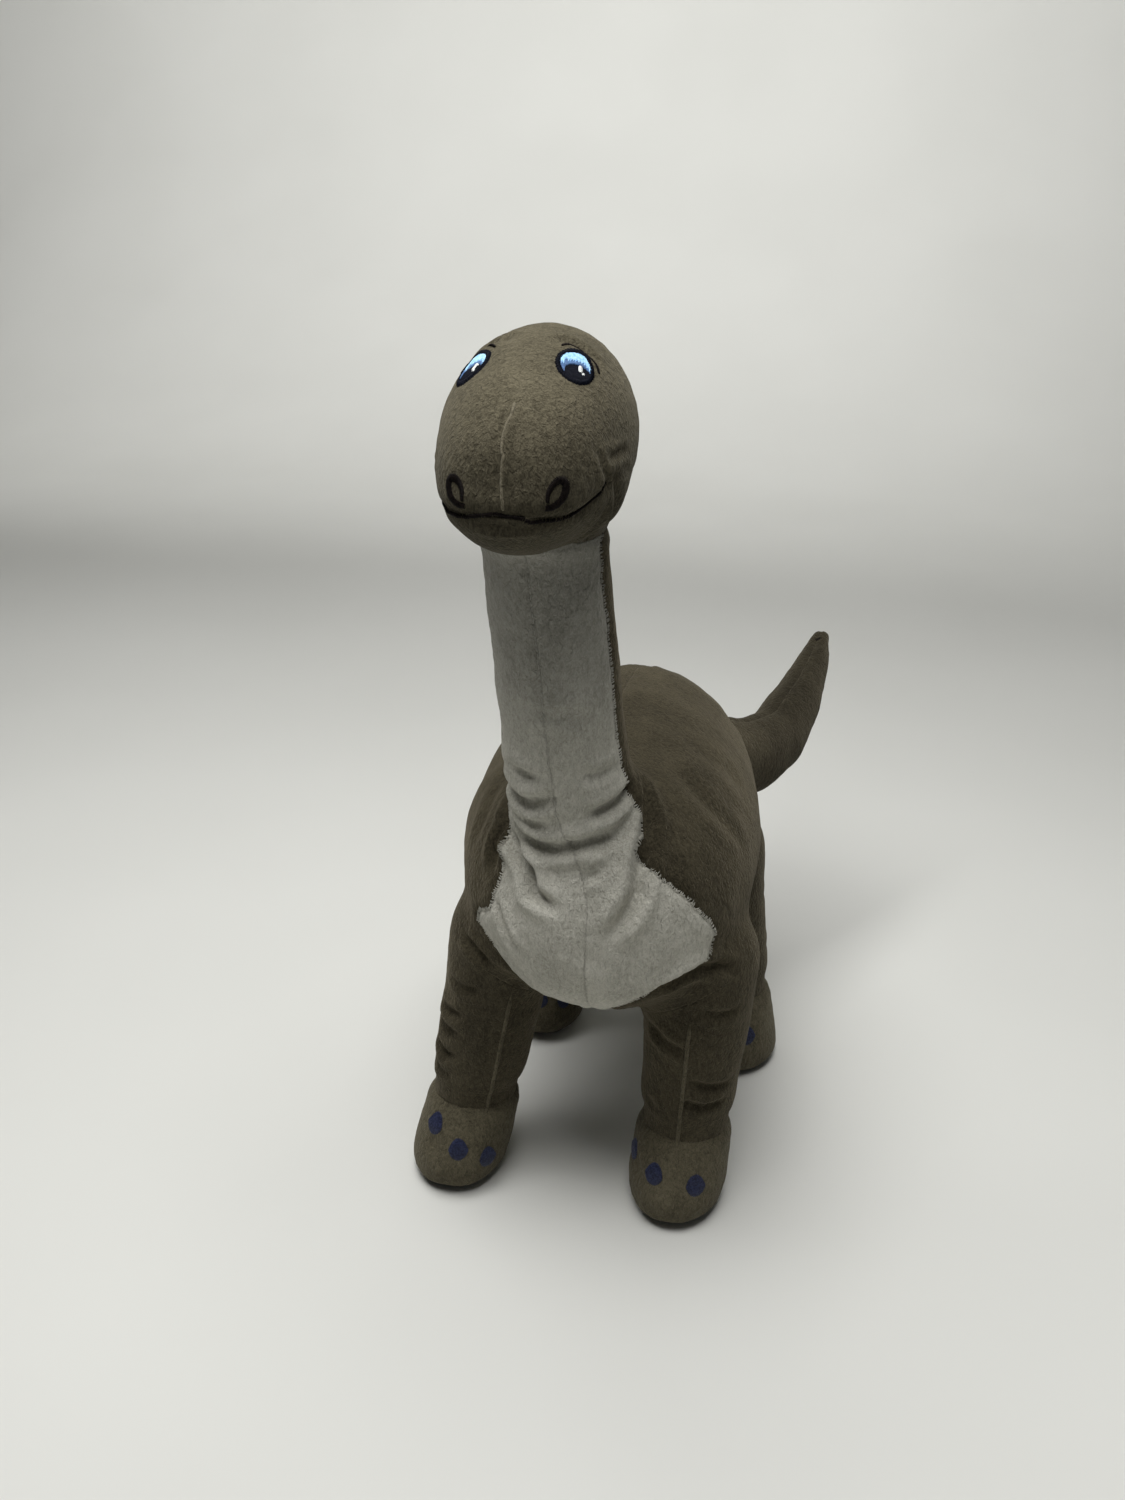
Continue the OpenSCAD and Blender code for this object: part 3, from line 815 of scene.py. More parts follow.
# %% The cheeks and chin swell, the muzzle's right side and the eye sockets sink
HEAD_SWELLS = [
    ((5, -50, 398), 15, 4.8),
    ((-25, -68, 390), 20, 3.4),
    ((-46, -60, 394), 13, 1.5),
    ((-54, -70, 410), 17, -2.0),
    ((-7.6, -54, 450), 9.5, -0.9),
    ((-45, -54, 450), 9.5, -0.9)]
head_part = body_index(p) == 1
for middle, wide, push in HEAD_SWELLS:
    lift += push * np.exp(-(np.linalg.norm(p - middle, axis=1) / wide) ** 2)
lift = lift + valley + swell + pucker + lumps * np.where(head_part, 0.5, 1.0)

# %% Keep the soles flat and move the points
sole_part = step(-p[:, 2], -9, -3)
lift *= 1 - sole_part
p = p + normals_of(form.data) * lift[:, None]
p[:, 2] = np.maximum(p[:, 2], 0)
write_points(form.data, p)

# %% [markdown]
# ## Take the panels apart
#
# A sewn toy is many pieces of cloth, not one skin. Each panel becomes its own piece: the faces with
# its number are copied out and given the thickness of the cloth, inwards, so that neighbours still
# meet edge to edge in their valley.

# %% Panels with a thickness
SKIN = 0.0016
pieces = {}


def panel_piece(name, source, number):
    bm = bmesh.new()
    bm.from_mesh(source)
    others = [f for f in bm.faces if f.material_index != number]
    bmesh.ops.delete(bm, geom=others, context="FACES")
    for face in bm.faces:
        face.material_index = 0
        face.smooth = True
    mesh = bpy.data.meshes.new(name)
    bm.to_mesh(mesh)
    bm.free()
    mesh.materials.clear()
    piece = bpy.data.objects.new(name, mesh)
    bpy.context.scene.collection.objects.link(piece)
    wall = piece.modifiers.new("wall", "SOLIDIFY")
    wall.thickness = SKIN
    wall.offset = -1
    wall.use_even_offset = False
    baked(piece)
    pieces[name] = piece
    return piece


used = np.empty(len(form.data.polygons), np.int32)
form.data.polygons.foreach_get("material_index", used)
for number, name in enumerate(PANELS):
    if (used == number).sum() > 0:
        piece = panel_piece(name, form.data, number)
        print(name, len(piece.data.polygons))

# %% [markdown]
# ## Stuffing cores
#
# Inside each skin lies a lump of polyester fibre. It is hidden, but it gives each part its weight.
# Each core starts from the stuffing in the frame, is remeshed so that its surface is even, drawn in
# from the cloth and made lumpy. The torso's core rides on the torso; the others stay where they are
# made. A rigid core would come through the cloth when a limb moves; at the end of the head's nod a
# spot does, under the chin.

# %% The cores
CORE_VOXEL = 0.005
CORE_GAP = 1.6


def stuffing_core(name, node_name, body):
    bm = welded_copy([node_name])
    mesh = bpy.data.meshes.new(name)
    bm.to_mesh(mesh)
    bm.free()
    core = bpy.data.objects.new(name, mesh)
    bpy.context.scene.collection.objects.link(core)
    even = core.modifiers.new("even", "REMESH")
    even.mode = "VOXEL"
    even.voxel_size = CORE_VOXEL
    baked(core)
    q = points_mm(core.data)
    for k in range(2):
        q = relaxed(q, edges_of(core.data), 3, 0.5)
        write_points(core.data, q)
        q = q - normals_of(core.data) * CORE_GAP
    q = q + normals_of(core.data) * (bumpy(q, 11.0, 6) - 0.5)[:, None]
    write_points(core.data, q)
    smooth_faces(core)
    if body == "torso":
        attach(core, body)
    elif body == "neck":
        bend_neck(core)
    elif body == "head":
        bend_head(core)
    elif body == "tail":
        bend_tail(core)
    else:
        bend_leg(core)
    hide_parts(node_name)
    core.data.materials.append(fibre)
    return core


# %% [markdown]
# ## Plush, thread, satin and fibre
#
# Plush looks soft for three reasons. Its pile scatters light back at grazing angles, which is what
# sheen does. It has almost no gloss. And it is never one colour, because the pile lies in patches
# that catch the light differently. Each of these is built from noise in the object's own space, so
# no drawing of the cloth is needed. Real hairs would be closer, but they are slow to render and
# aren't exported, so the pile is a bump. Some plush is dimmed along one axis: under the head, up
# the neck and towards the tail the cloth lies in the toy's own shade.

# %% The plush materials
def shaded(tree, coords, colour, axis, low, high, at_low, at_high):
    """The colour dimmed by a share that changes smoothly along one axis, from low to high."""
    parts = node(tree, "ShaderNodeSeparateXYZ")
    link(tree, coords.outputs["Object"], parts.inputs["Vector"])
    share = node(tree, "ShaderNodeMapRange", interpolation_type="SMOOTHSTEP")
    for socket, value in (("From Min", low), ("From Max", high), ("To Min", at_low),
            ("To Max", at_high)):
        share.inputs[socket].default_value = value
    link(tree, parts.outputs[axis], share.inputs["Value"])
    dim = node(tree, "ShaderNodeVectorMath", operation="SCALE")
    link(tree, colour, dim.inputs[0])
    link(tree, share.outputs["Result"], dim.inputs["Scale"])
    return dim.outputs["Vector"]


def plush(name, deep, pale, sheen, tint, shade=None):
    """Short pile: patches of nap, streaks of pile, and a bump for both."""
    material, tree, shader = new_material(name)
    coords = node(tree, "ShaderNodeTexCoord")
    combed = node(tree, "ShaderNodeMapping", Scale=(1.0, 1.0, 0.55))
    link(tree, coords.outputs["Object"], combed.inputs["Vector"])
    patches = node(tree, "ShaderNodeTexNoise", Scale=34.0, Detail=3.0, Distortion=0.4)
    nap = node(tree, "ShaderNodeTexNoise", Scale=150.0, Detail=3.0, Distortion=1.6)
    tufts = node(tree, "ShaderNodeTexNoise", Scale=620.0, Detail=2.0, Distortion=0.8)
    hairs = node(tree, "ShaderNodeTexNoise", Scale=1900.0, Detail=1.0)
    for texture in (patches, nap, tufts, hairs):
        link(tree, combed.outputs["Vector"], texture.inputs["Vector"])
    height = patches.outputs["Fac"]
    for texture, share in ((nap, 0.34), (tufts, 0.46), (hairs, 0.28)):
        blend = node(tree, "ShaderNodeMix")
        blend.inputs["Factor"].default_value = share
        link(tree, height, blend.inputs["A"])
        link(tree, texture.outputs["Fac"], blend.inputs["B"])
        height = blend.outputs["Result"]
    ramp = node(tree, "ShaderNodeValToRGB")
    middle = tuple((a + b) / 2 for a, b in zip(deep, pale))
    set_ramp(ramp, [(0.39, deep), (0.5, middle), (0.61, pale)])
    link(tree, height, ramp.inputs["Fac"])
    colour = ramp.outputs["Color"]
    if shade:
        colour = shaded(tree, coords, colour, *shade)
    link(tree, colour, shader.inputs["Base Color"])
    soft = raised(tree, nap, 0.35, 0.0014)
    tufted = raised(tree, tufts, 0.9, 0.0011, soft)
    link(tree, raised(tree, hairs, 0.6, 0.0004, tufted), shader.inputs["Normal"])
    rough = node(tree, "ShaderNodeMapRange")
    rough.inputs["To Min"].default_value = 0.86
    link(tree, nap.outputs["Fac"], rough.inputs["Value"])
    link(tree, rough.outputs["Result"], shader.inputs["Roughness"])
    shader.inputs["Specular IOR Level"].default_value = 0.12
    shader.inputs["Sheen Weight"].default_value = sheen
    shader.inputs["Sheen Roughness"].default_value = 0.45
    shader.inputs["Sheen Tint"].default_value = (*tint, 1)
    return material


brown_plush = plush("brown_plush", (0.050, 0.043, 0.027), (0.130, 0.114, 0.075), 0.14,
    (0.80, 0.74, 0.58))
# The head's copy of the brown plush has painted shade: darker towards the bottom of the head, on
# the muzzle, cheeks and jaw.
head_plush = plush("head_plush", (0.050, 0.043, 0.027), (0.130, 0.114, 0.075), 0.14,
    (0.80, 0.74, 0.58), ("Z", 0.386, 0.446, 0.58, 1.02))
# The brown plush again at about half its brightness, for every brown panel but the head and the
# feet: painted shade, with more painted shade towards the tail.
shaded_plush = plush("brown_plush_painted_shade", (0.025, 0.021, 0.0125), (0.075, 0.064, 0.040), 0.20,
    (0.74, 0.64, 0.46), ("Y", 0.02, 0.13, 1.0, 0.6))
# A paler copy of the brown plush: a painted highlight for the cord on the nose's dart.
ridge_highlight_plush = plush("ridge_highlight_plush", (0.10, 0.088, 0.060), (0.19, 0.168, 0.118), 0.2,
    (0.80, 0.74, 0.58))
# The grey plush has painted shade up the neck, darker towards the top where the head's shadow
# falls.
grey_plush = plush("grey_plush", (0.33, 0.32, 0.272), (0.545, 0.53, 0.465), 0.14,
    (0.95, 0.93, 0.86), ("Z", 0.262, 0.345, 1.0, 0.58))


# %% Thread, satin and fibre
def thread(name, deep, pale, gloss=0.4):
    """Rayon thread: glossy along its length, with a fine twist."""
    material, tree, shader = new_material(name)
    shades = textured(tree, "ShaderNodeTexNoise", Scale=900.0, Detail=1.0)
    twist = textured(tree, "ShaderNodeTexNoise", Scale=3500.0, Detail=1.0)
    tinted(tree, shader, shades, [(0.35, deep), (0.65, pale)])
    link(tree, raised(tree, twist, 0.4, 0.0001), shader.inputs["Normal"])
    shader.inputs["Roughness"].default_value = 0.5
    shader.inputs["Specular IOR Level"].default_value = gloss
    shader.inputs["Sheen Weight"].default_value = 0.1 * gloss
    return material


sky_thread = thread("sky_thread", (0.24, 0.50, 0.82), (0.46, 0.74, 0.96))
deep_thread = thread("deep_blue_thread", (0.035, 0.09, 0.22), (0.07, 0.17, 0.36))
ink_thread = thread("ink_thread", (0.002, 0.0026, 0.006), (0.005, 0.006, 0.012), 0.05)
white_thread = thread("white_thread", (0.72, 0.74, 0.72), (0.86, 0.88, 0.86))
navy_thread = thread("navy_thread", (0.010, 0.013, 0.036), (0.030, 0.037, 0.090), 0.3)
umber_thread = thread("umber_thread", (0.004, 0.003, 0.003), (0.011, 0.008, 0.007), 0.05)
grey_sewing = thread("grey_sewing_thread", (0.30, 0.29, 0.25), (0.44, 0.43, 0.38))


def fibre_material():
    """Polyester fibre: white, tangled, without gloss."""
    material, tree, shader = new_material("stuffing_fibre")
    tangle = textured(tree, "ShaderNodeTexNoise", Scale=420.0, Detail=4.0, Distortion=3.0)
    tinted(tree, shader, tangle, [(0.3, (0.62, 0.62, 0.60)), (0.7, (0.86, 0.86, 0.84))])
    link(tree, raised(tree, tangle, 0.8, 0.001), shader.inputs["Normal"])
    shader.inputs["Roughness"].default_value = 0.95
    shader.inputs["Sheen Weight"].default_value = 0.4
    return material


fibre = fibre_material()


def satin_material():
    """Woven satin tape: fine ribs across a slightly glossy white."""
    material, tree, shader = new_material("label_satin")
    ribs = textured(tree, "ShaderNodeTexWave", Scale=900.0, Distortion=0.6, Detail=1.0)
    ribs.bands_direction = "Y"
    tinted(tree, shader, ribs, [(0.0, (0.70, 0.70, 0.66)), (1.0, (0.84, 0.84, 0.80))])
    link(tree, raised(tree, ribs, 0.3, 0.0001), shader.inputs["Normal"])
    shader.inputs["Roughness"].default_value = 0.38
    return material


label_satin = satin_material()

# %% [markdown]
# ## Dress the panels
#
# The real toy has no hinges: it bends where the cloth folds. Each panel gets its plush and takes
# the place of the CAD panels it stands for. The feet and soles ride on their legs; the other panels
# stay where they are made.

# %% Which CAD panels each piece stands for
STANDS_FOR = {
    "body_left": ["body_left_panel", "neck_back_left_panel"],
    "body_right": ["body_right_panel", "neck_back_right_panel"],
    "bib_left": ["belly_left_panel", "neck_front_left_panel"],
    "bib_right": ["belly_right_panel", "neck_front_right_panel"],
    "face": ["face_panel"],
    "chin": ["chin_panel"],
    "head_back_left": ["head_back_left_panel"],
    "head_back_right": ["head_back_right_panel"],
    "tail_left": ["tail_left_panel"],
    "tail_right": ["tail_right_panel"]}
for leg in LEGS:
    STANDS_FOR[leg + "_outer"] = [leg + "_outer_panel"]
    STANDS_FOR[leg + "_inner"] = [leg + "_inner_panel"]
    STANDS_FOR[leg + "_foot"] = [leg + "_foot_panel"]
    STANDS_FOR[leg + "_sole"] = [leg + "_sole"]


def bend_neck(piece):
    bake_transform(piece)


def bend_head(piece):
    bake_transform(piece)


def bend_tail(piece):
    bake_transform(piece)


def bend_leg(piece):
    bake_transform(piece)


# The brown panels take the copy with painted shade; the feet keep the full brown and the head has
# its own copy.
for name, piece in pieces.items():
    pale = name.startswith("bib")
    cloth = grey_plush if pale else shaded_plush
    if name.endswith("_foot"):
        cloth = brown_plush
    elif name.startswith(("face", "chin", "head")):
        cloth = head_plush
    piece.data.materials.append(cloth)
    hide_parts(*STANDS_FOR[name])
    leg = name.rsplit("_", 1)[0]
    if name.startswith(("body", "bib")):
        bend_neck(piece)
    elif name.startswith("tail"):
        bend_tail(piece)
    elif name.endswith(("_outer", "_inner")):
        bend_leg(piece)
    elif name.endswith(("_foot", "_sole")):
        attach(piece, leg + "_leg")
    else:
        bend_head(piece)

for body, node_name in [("torso", "torso_stuffing"), ("neck", "neck_stuffing"),
        ("head", "head_stuffing"), ("tail", "tail_stuffing")]:
    stuffing_core(body + "_core", node_name, body)
for leg in LEGS:
    stuffing_core(leg + "_core", leg + "_stuffing", leg + "_leg")

# %% [markdown]
# ## Embroidery
#
# Satin stitch is a row of parallel threads laid side by side. Each thread here is a short curve
# with a round bevel, dropped onto the plush by a ray cast, rising in its middle and diving into
# the cloth at both ends. A whole patch of threads is one piece. A picture of stitches on a flat
# patch would be quicker, but only threads with a real thickness catch the light one by one.

# %% Threads on the surface
surface_bm = bmesh.new()
surface_bm.from_mesh(form.data)
surface = BVHTree.FromBMesh(surface_bm)
surface_bm.free()


def unit(v):
    return np.array(v, float) / np.linalg.norm(v)


def dropped(start, way):
    """Where a ray from start along way meets the plush, and the plush's normal there, in mm."""
    hit, normal, _, _ = surface.ray_cast(Vector(metres(start)), Vector(way))
    if hit is None:
        return None, None
    return np.array(hit) * 1000 + DRAWN, np.array(normal)


def draped(point):
    """The nearest point of the plush to a point, and the normal there."""
    hit, normal, _, _ = surface.find_nearest(Vector(metres(point)))
    return np.array(hit) * 1000 + DRAWN, np.array(normal)


def threads(name, lines, radius, material):
    """One piece made of many round threads; each line is a list of (point in mm, share)."""
    curve = bpy.data.curves.new(name, "CURVE")
    curve.dimensions = "3D"
    curve.bevel_depth = radius / 1000
    curve.bevel_resolution = 1
    curve.use_fill_caps = True
    for line in lines:
        spline = curve.splines.new("POLY")
        spline.points.add(len(line) - 1)
        for point, (place, share) in zip(spline.points, line):
            point.co = (*metres(place), 1)
            point.radius = share
    holder = bpy.data.objects.new(name + "_curve", curve)
    bpy.context.scene.collection.objects.link(holder)
    deps = bpy.context.evaluated_depsgraph_get()
    mesh = bpy.data.meshes.new_from_object(holder.evaluated_get(deps))
    bpy.data.objects.remove(holder)
    mesh.name = name
    piece = bpy.data.objects.new(name, mesh)
    bpy.context.scene.collection.objects.link(piece)
    smooth_faces(piece)
    mesh.materials.clear()
    mesh.materials.append(material)
    return piece


def arch(t):
    """The rise of a thread along its length: buried at the ends, highest between."""
    return -0.35 + 1.35 * min(1.0, math.sin(math.pi * min(max(t, 0), 1)) * 3.0)


def stitch_between(a, b, lift, count=5):
    """A thread from a to b across the plush; its points follow the surface."""
    line = []
    for i in range(count):
        t = i / (count - 1)
        place, normal = draped(np.array(a) + (np.array(b) - np.array(a)) * t)
        line.append((place + normal * lift * arch(t), 1.0 if 0 < i < count - 1 else 0.7))
    return line


def satin_stroke(path, widths, pitch, lift, slant=0.0):
    """Threads laid across a stroke, along a path of points near the plush."""
    path = np.array(path, float)
    lengths = np.concatenate(([0], np.cumsum(np.linalg.norm(np.diff(path, axis=0), axis=1))))
    count = int(lengths[-1] / pitch)
    lines = []
    for i in range(count + 1):
        s = lengths[-1] * i / count
        here = np.array([np.interp(s, lengths, path[:, k]) for k in range(3)])
        ahead = np.array([np.interp(s + 1.0, lengths, path[:, k]) for k in range(3)])
        back = np.array([np.interp(s - 1.0, lengths, path[:, k]) for k in range(3)])
        place, normal = draped(here)
        way = unit(ahead - back)
        side = unit(np.cross(normal, way) + slant * way)
        wide = np.interp(s / lengths[-1], np.linspace(0, 1, len(widths)), widths)
        wide *= 0.92 + 0.16 * ((i * 7) % 5) / 4
        lines.append(stitch_between(place - side * wide / 2, place + side * wide / 2, lift, 4))
    return lines


class Patch:
    """Flat coordinates laid on the plush: rightwards and up, around a middle."""

    def __init__(self, middle, out, hint):
        self.middle = np.array(middle, float)
        self.out = unit(out)
        self.up = unit(np.array(hint) - self.out * (np.array(hint) @ self.out))
        self.right = np.cross(self.up, self.out)

    def on(self, a, b, lift):
        start = self.middle + self.out * 60 + self.right * a + self.up * b
        place, normal = dropped(start, -self.out)
        if place is None:
            place, normal = draped(self.middle + self.right * a + self.up * b)
        return place + normal * lift

    def line(self, ends, lift, count=6):
        """A thread between two flat points."""
        (a0, b0), (a1, b1) = ends
        made = []
        for i in range(count):
            t = i / (count - 1)
            share = 1.0 if 0 < i < count - 1 else 0.7
            made.append((self.on(a0 + (a1 - a0) * t, b0 + (b1 - b0) * t,
                lift * arch(t)), share))
        return made


PITCH = 0.42
THREAD_R = 0.25


def embroider(name, lines, material, body, node_name=None, radius=THREAD_R):
    """A patch of threads that rides on one body."""
    piece = threads(name, lines, radius, material)
    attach(piece, body)
    if node_name:
        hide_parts(node_name)


# %% The eyes
EYE_WIDE, EYE_TALL = 7.8, 9.6
PUPIL_WIDE, PUPIL_TALL = 5.2, 4.6
PUPIL_AT = {"left": (0.9, -2.6), "right": (1.0, -2.4)}
EYE_OUT = {"left": (0.495, -0.325, 0.80), "right": (-0.575, -0.33, 0.75)}
EYE_UP = {"left": (0.16, 0.41, 0.90), "right": (-0.16, 0.41, 0.90)}
GLINT = {"left": (1.9, -1.7), "right": (2.4, -1.2)}
RIM = 1.35


def jag(i, size):
    """An uneven end for thread i."""
    return size * (((i * 37) % 11) / 11 - 0.5)


def eye_patch(side):
    out = unit(EYE_OUT[side])
    middle, _ = dropped(HEAD + out * 90, -out)
    return Patch(middle, out, EYE_UP[side])


def oval(a, wide, tall):
    """Half the height of an oval at a, or 0 outside it."""
    return tall * math.sqrt(max(0.0, 1 - (a / wide) ** 2))


def embroider_eye(side):
    patch = eye_patch(side)
    wide, tall = EYE_WIDE - RIM, EYE_TALL - RIM
    pupil_x, pupil_y = PUPIL_AT[side]
    sky, deep, black = [], [], []
    for i in range(-15, 16):
        a = i * PITCH
        top = oval(a, wide, tall)
        if top < 0.8:
            continue
        black_top = pupil_y + oval(a - pupil_x, PUPIL_WIDE, PUPIL_TALL)
        over_pupil = abs(a - pupil_x) < PUPIL_WIDE
        low = black_top - 0.4 if over_pupil else -top
        edge = low + (1.5 if over_pupil else 2.0) + jag(i, 1.7)
        if a < -3.2:
            edge = low + (top - low) * 0.55 + jag(i, 1.8)
        edge = min(edge, top - 0.5)
        sky.append(patch.line(((a, top + 0.3), (a + jag(i, 0.2), edge - 0.3)), 0.42))
        deep.append(patch.line(((a, edge + 0.5), (a, max(low, -top) - 0.3)), 0.36))
        if over_pupil:
            black.append(patch.line(((a, black_top + jag(i + 3, 0.8)), (a, -top - 0.3)), 0.52))
    ring = []
    count = int(math.pi * (EYE_WIDE + EYE_TALL - 1.6) / PITCH)
    for i in range(count):
        u = 2 * math.pi * i / count
        v = u + 0.09
        r0 = 1 - 2.2 / EYE_WIDE + jag(i, 0.06)
        r1 = 1.05 + jag(i + 5, 0.07)
        ring.append(patch.line(((r0 * EYE_WIDE * math.cos(u), r0 * EYE_TALL * math.sin(u)),
            (r1 * EYE_WIDE * math.cos(v), r1 * EYE_TALL * math.sin(v))), 0.62, 4))
    glint = []
    ga, gb = GLINT[side]
    for ca, cb, ra, rb in ((0, 0.4, 1.5, 2.0), (1.1, -2.2, 0.8, 0.9)):
        for i in range(-5, 6):
            b = i * PITCH
            half = oval(b, rb, ra)
            if half > 0.3:
                glint.append(patch.line(((ga + ca - half, gb + cb + b),
                    (ga + ca + half, gb + cb + b)), 0.9, 4))
    named = side + "_eye_"
    embroider(named + "iris", sky, sky_thread, "head", side + "_eye")
    embroider(named + "shade", deep, deep_thread, "head")
    embroider(named + "pupil", black, ink_thread, "head")
    embroider(named + "outline", ring, ink_thread, "head")
    embroider(named + "glint", glint, white_thread, "head")
    print(side, "eye threads", len(sky + deep + black + ring + glint))


for side in ("left", "right"):
    embroider_eye(side)

# %% Brows, nostrils and mouth
SIGN = {"left": 1, "right": -1}
NOSTRIL = [(-2.9, -3.6), (-3.5, -0.8), (-2.5, 2.4), (-0.4, 4.6), (2.1, 4.7), (3.4, 2.4),
    (3.1, -0.8), (1.8, -3.3), (-0.5, -5.1), (-3.0, -6.0)]
NOSTRIL_WIDE = [1.2, 1.8, 2.4, 3.1, 3.5, 3.6, 3.4, 3.2, 3.2, 2.4]
NOSTRIL_OUT = {"left": (0.395, -0.905, -0.16), "right": (-0.285, -0.94, -0.165)}
NOSTRIL_LEAN = math.radians(16)
BROW_WIDE = [0.9, 1.7, 1.5, 0.6, 0.5, 0.7, 1.3, 0.9]


def smooth_path(points, rounds=2):
    """Corner cutting: each round replaces a corner by two points."""
    q = np.array(points, float)
    for k in range(rounds):
        cut = [q[0]]
        for a, b in zip(q[:-1], q[1:]):
            cut += [a * 0.75 + b * 0.25, a * 0.25 + b * 0.75]
        q = np.array(cut + [q[-1]])
    return q


for side, sign in SIGN.items():
    out = unit(NOSTRIL_OUT[side])
    middle, _ = dropped(HEAD + out * 110, -out)
    patch = Patch(middle, out, (sign * math.sin(NOSTRIL_LEAN), 0, math.cos(NOSTRIL_LEAN)))
    route = [patch.on(sign * a, b, 0) for a, b in smooth_path(NOSTRIL)]
    embroider(side + "_nostril_thread", satin_stroke(route, NOSTRIL_WIDE, PITCH, 0.6, 0.15),
        umber_thread, "head", side + "_nostril")
    eye = eye_patch(side)
    arc = [eye.on(sign * 10.2 * math.cos(u), 12.6 * math.sin(u), 0)
        for u in np.radians(np.linspace(122, 8, 14))]
    embroider(side + "_brow_thread", satin_stroke(arc, BROW_WIDE, PITCH, 0.35, 0.5),
        umber_thread, "head", side + "_brow", THREAD_R * 0.9)

MOUTH_HALF = [(0, -56, -16.0), (3.5, -56, -17.2), (10.8, -54, -18.9), (15.7, -52, -19.4),
    (22, -46, -19.4), (26.2, -39.7, -18.0), (30.5, -32, -13.6), (33.5, -25.2, -9.4)]
mouth_left = [HEAD + np.array(q) for q in smooth_path(MOUTH_HALF)]
mouth_right = [HEAD + np.array((-q[0], q[1], q[2])) for q in smooth_path(MOUTH_HALF)]
MOUTH_WIDE = [0.7, 1.0, 1.4, 1.6, 1.7, 1.6, 1.5, 1.6, 1.7, 1.6, 1.4, 1.0, 0.7]
mouth_lines = satin_stroke(mouth_right[::-1] + mouth_left[1:], MOUTH_WIDE, PITCH, 0.45, 0.3)
embroider("mouth_thread", mouth_lines, umber_thread, "head", "mouth_stitch")
print("mouth threads", len(mouth_lines))

# %% The claws
CLAW_TURNS = {"front_left": (-64, -19, 26), "front_right": (-27, 10, 43),
    "rear_left": (-37, -6, 25), "rear_right": (-25, 6, 37)}
CLAW_HEIGHTS = {"front_left": (25, 24, 21), "front_right": (32, 22, 14),
    "rear_left": (25, 24, 22), "rear_right": (25, 24, 22)}
CLAW_WIDE, CLAW_TALL = 5.2, 7.0
for leg in LEGS:
    lines = []
    for turned, height in zip(CLAW_TURNS[leg], CLAW_HEIGHTS[leg]):
        a = math.radians(turned)
        out = unit((math.sin(a), -math.cos(a), 0.25))
        axis = leg_axis(leg, np.array([(0, 0, height)], float))[0] + (0, -6, 0)
        middle, _ = dropped(axis + out * 90, -out)
        if middle is None:
            middle, _ = draped(axis + out * 34)
        patch = Patch(middle, out, (0, 0, 1))
        for i in range(-12, 13):
            x = i * PITCH
            inside = 1 - (x / CLAW_WIDE) ** 2
            if inside > 0.04:
                top = CLAW_TALL * (math.sqrt(inside) * 0.55 + 0.45 * inside) + jag(i, 0.3)
                low = -CLAW_TALL * 0.82 * math.sqrt(inside) - jag(i + 4, 0.3)
                lines.append(patch.line(((x, top), (x, low)), 0.5))
    embroider(leg + "_claw_threads", lines, navy_thread, leg + "_leg",
        leg + "_claws")
    print(leg, "claw threads", len(lines))

# %% [markdown]
# ## The care label
#
# A blank satin tape is folded double and caught in a side seam. It is short and stiff enough to
# stand away from the body in a slight wave, so it is extruded step by step along that wave; a
# cloth simulation would change little on so small a strip.

# %% The label
def care_label():
    low, high = (np.array(c) * 1000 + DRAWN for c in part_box("care_label"))
    middle = (low + high) / 2
    root, normal = draped(middle)
    way = unit(normal + (0, 0, -0.55))
    side = unit(np.cross(way, (0, 0, 1)))
    bm = bmesh.new()
    ends = [bm.verts.new(metres(root - way * 4 - side * 9 * k)) for k in (-1, 1)]
    edge = bm.edges.new(ends)
    curl = np.cross(side, way)
    strip = [edge]
    for i in range(8):
        made = bmesh.ops.extrude_edge_only(bm, edges=strip)
        strip = [g for g in made["geom"] if isinstance(g, bmesh.types.BMEdge)]
        moved = [g for g in made["geom"] if isinstance(g, bmesh.types.BMVert)]
        shift = way * 1.9 + curl * 0.45 * math.sin(i * 0.9)
        bmesh.ops.translate(bm, verts=moved, vec=tuple(shift / 1000))
    bmesh.ops.subdivide_edges(bm, edges=bm.edges[:], cuts=1, use_grid_fill=True)
    mesh = bpy.data.meshes.new("label")
    bm.to_mesh(mesh)
    bm.free()
    piece = bpy.data.objects.new("label", mesh)
    bpy.context.scene.collection.objects.link(piece)
    wall = piece.modifiers.new("tape", "SOLIDIFY")
    wall.thickness = 0.0007
    wall.offset = 0
    soften = piece.modifiers.new("soften", "SUBSURF")
    soften.levels = soften.render_levels = 1
    baked(piece)
    smooth_faces(piece)
    piece.data.materials.clear()
    piece.data.materials.append(label_satin)
    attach(piece, "torso")
    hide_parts("care_label")
    print("label", len(piece.data.polygons), "faces")


care_label()

# %% [markdown]
# ## Raised ridges
#
# The dart down the nose and the seam down the front of each leg stand up from the cloth and catch
# the light. The ridge could be pushed out of the skin itself, but the mesh is too coarse for a
# crisp one, so a cord of plush follows the seam, half sunk into it. Each cord is paler than the
# cloth
# beside it: a painted highlight along the ridge.

# %% The dart down the nose and the front seam of each leg
def ridge(name, points, radius, lift, plush_kind):
    line = []
    for i, point in enumerate(points):
        place, normal = draped(point)
        share = min(1.0, 0.3 + 0.35 * min(i, len(points) - 1 - i))
        line.append((place + normal * lift * (1 + 0.5 * math.sin(i * 2.3)), share))
    made = threads(name, [line], radius, plush_kind)
    return made


DART = [(-22.6, -78, 440), (-22, -82.3, 436), (-22.6, -89.2, 429), (-21.6, -94.3, 418.4),
    (-21.9, -97, 404)]
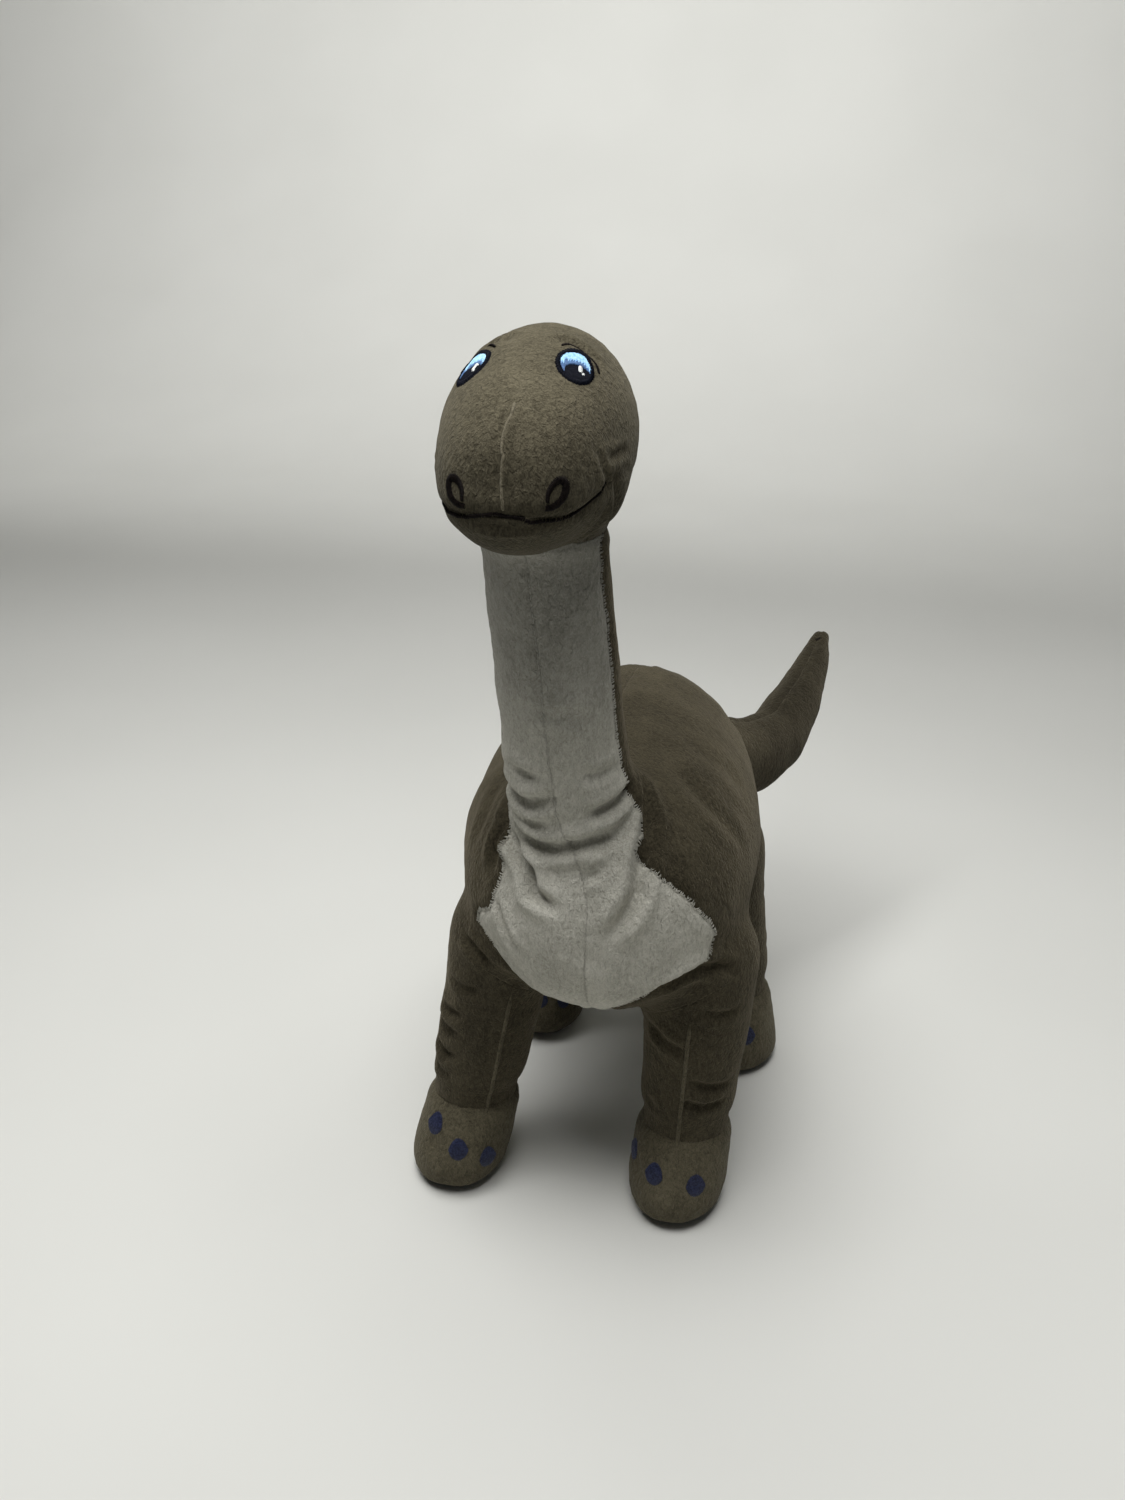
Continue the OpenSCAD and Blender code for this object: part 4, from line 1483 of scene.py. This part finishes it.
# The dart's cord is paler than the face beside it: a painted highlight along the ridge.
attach(ridge("nose_dart", smooth_path(DART, 3), 0.65, 0.0, ridge_highlight_plush), "head")
for leg in LEGS:
    turned = math.radians(SEAM_TURN[leg])
    forward = np.array((math.sin(turned), -math.cos(turned), 0))
    points = []
    for height in np.arange(128, 44, -2.5):
        axis = leg_axis(leg, np.array([(0, 0, height)], float))[0]
        place, _ = dropped(axis + forward * 70, -forward)
        if place is not None:
            points.append(place)
    # The leg cords keep the full brown, paler than the painted shade of the leg panels: a painted
    # highlight along the seam.
    bend_leg(ridge(leg + "_front_ridge", points, 1.1, -0.2, brown_plush))

# %% [markdown]
# ## The fringe of pile
#
# Where the grey cloth meets the brown, the ends of the grey pile reach over the seam and make a
# ragged edge. It could be hair, but hair isn't exported, so each tuft is a thread of three points
# that tapers to nothing. Their directions and lengths are drawn at random from a fixed seed.

# %% Tufts along the edge of the pale panels
def pile_fringe():
    """Short tufts of pale pile that reach over the seam onto the brown."""
    q = points_mm(form.data)
    n = normals_of(form.data)
    edge = sewn[(sewn[:, 2] < 2) & (sewn[:, 3] >= 2) & (sewn[:, 3] < 4)]
    a, b = q[edge[:, 0]], q[edge[:, 1]]
    middle = (a + b) / 2
    slope = np.stack([pale_field(middle + 0.5 * e) - pale_field(middle - 0.5 * e)
        for e in np.eye(3)], -1)
    normal = n[edge[:, 0]]
    out = -slope + normal * (slope * normal).sum(1)[:, None]
    out /= np.linalg.norm(out, axis=1)[:, None].clip(1e-6)
    chance = np.random.default_rng(4)
    lines = []
    for k in range(len(edge)):
        for j in range(2):
            root = a[k] + (b[k] - a[k]) * chance.random()
            way = unit(out[k] + unit(b[k] - a[k]) * chance.uniform(-0.5, 0.5))
            reach = chance.uniform(0.7, 2.1)
            lines.append([(root - way * 0.9 - normal[k] * 0.2, 1.0),
                (root + way * reach * 0.4 + normal[k] * 0.55, 0.8),
                (root + way * reach + normal[k] * 0.45, 0.15)])
    fringe = threads("bib_fringe", lines, 0.32, grey_plush)
    bend_neck(fringe)
    print("tufts", len(lines), "faces", len(fringe.data.polygons))


pile_fringe()

# %% [markdown]
# ## Stitches that show
#
# The machine's stitches can be seen down the middle of the bib, where the thread lies in the seam's
# valley. The skin is closed by hand once it is filled, which leaves a few dark stitches at the tip
# of the tail. Both are threads like those of the embroidery.

# %% Stitches down the bib
bib_lines = []
for height in np.arange(366, 146, -2.7):
    ends = []
    for z in (height, height - 1.9):
        x = float(along_line(NECK_LINE, np.array([max(z, 222)]), 2)[0, 0])
        x -= x * float(step(np.array([-z]), -250, -200)[0])
        place, _ = dropped((x, -220, z), (0, 1, 0))
        ends.append(place)
    bib_lines.append(stitch_between(ends[0], ends[1], 0.12, 4))
bib_thread = threads("bib_seam_thread", bib_lines, 0.2, grey_sewing)
bend_neck(bib_thread)
print("bib stitches", len(bib_lines))

# %% The closing stitches of the tail
tail_lines = []
tail_tip = TAIL_LINE[-2] + (TAIL_LINE[-3] - TAIL_LINE[-2]) * 0.35
for k in range(5):
    middle, normal = dropped(tail_tip + TAIL_WAY * (k - 2) * 1.3 + (-4, -30, 40), (0.08, 0.6, -0.8))
    if middle is None:
        middle, normal = draped(tail_tip)
    side = unit(np.cross(normal, TAIL_WAY))
    tail_lines.append(stitch_between(middle - side * 1.3, middle + side * 1.3, 0.3, 4))
tail_thread = threads("tail_closing_stitch", tail_lines, 0.3, umber_thread)
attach(tail_thread, "tail")
print("closing stitches", len(tail_lines))

# %% [markdown]
# ## Finish
#
# The form from which the panels were copied isn't a part of the toy, so it goes, with every mesh
# that nothing uses.

# %% Put the working form away and finish
bpy.data.objects.remove(form)
for mesh in [m for m in bpy.data.meshes if m.users == 0]:
    bpy.data.meshes.remove(mesh)
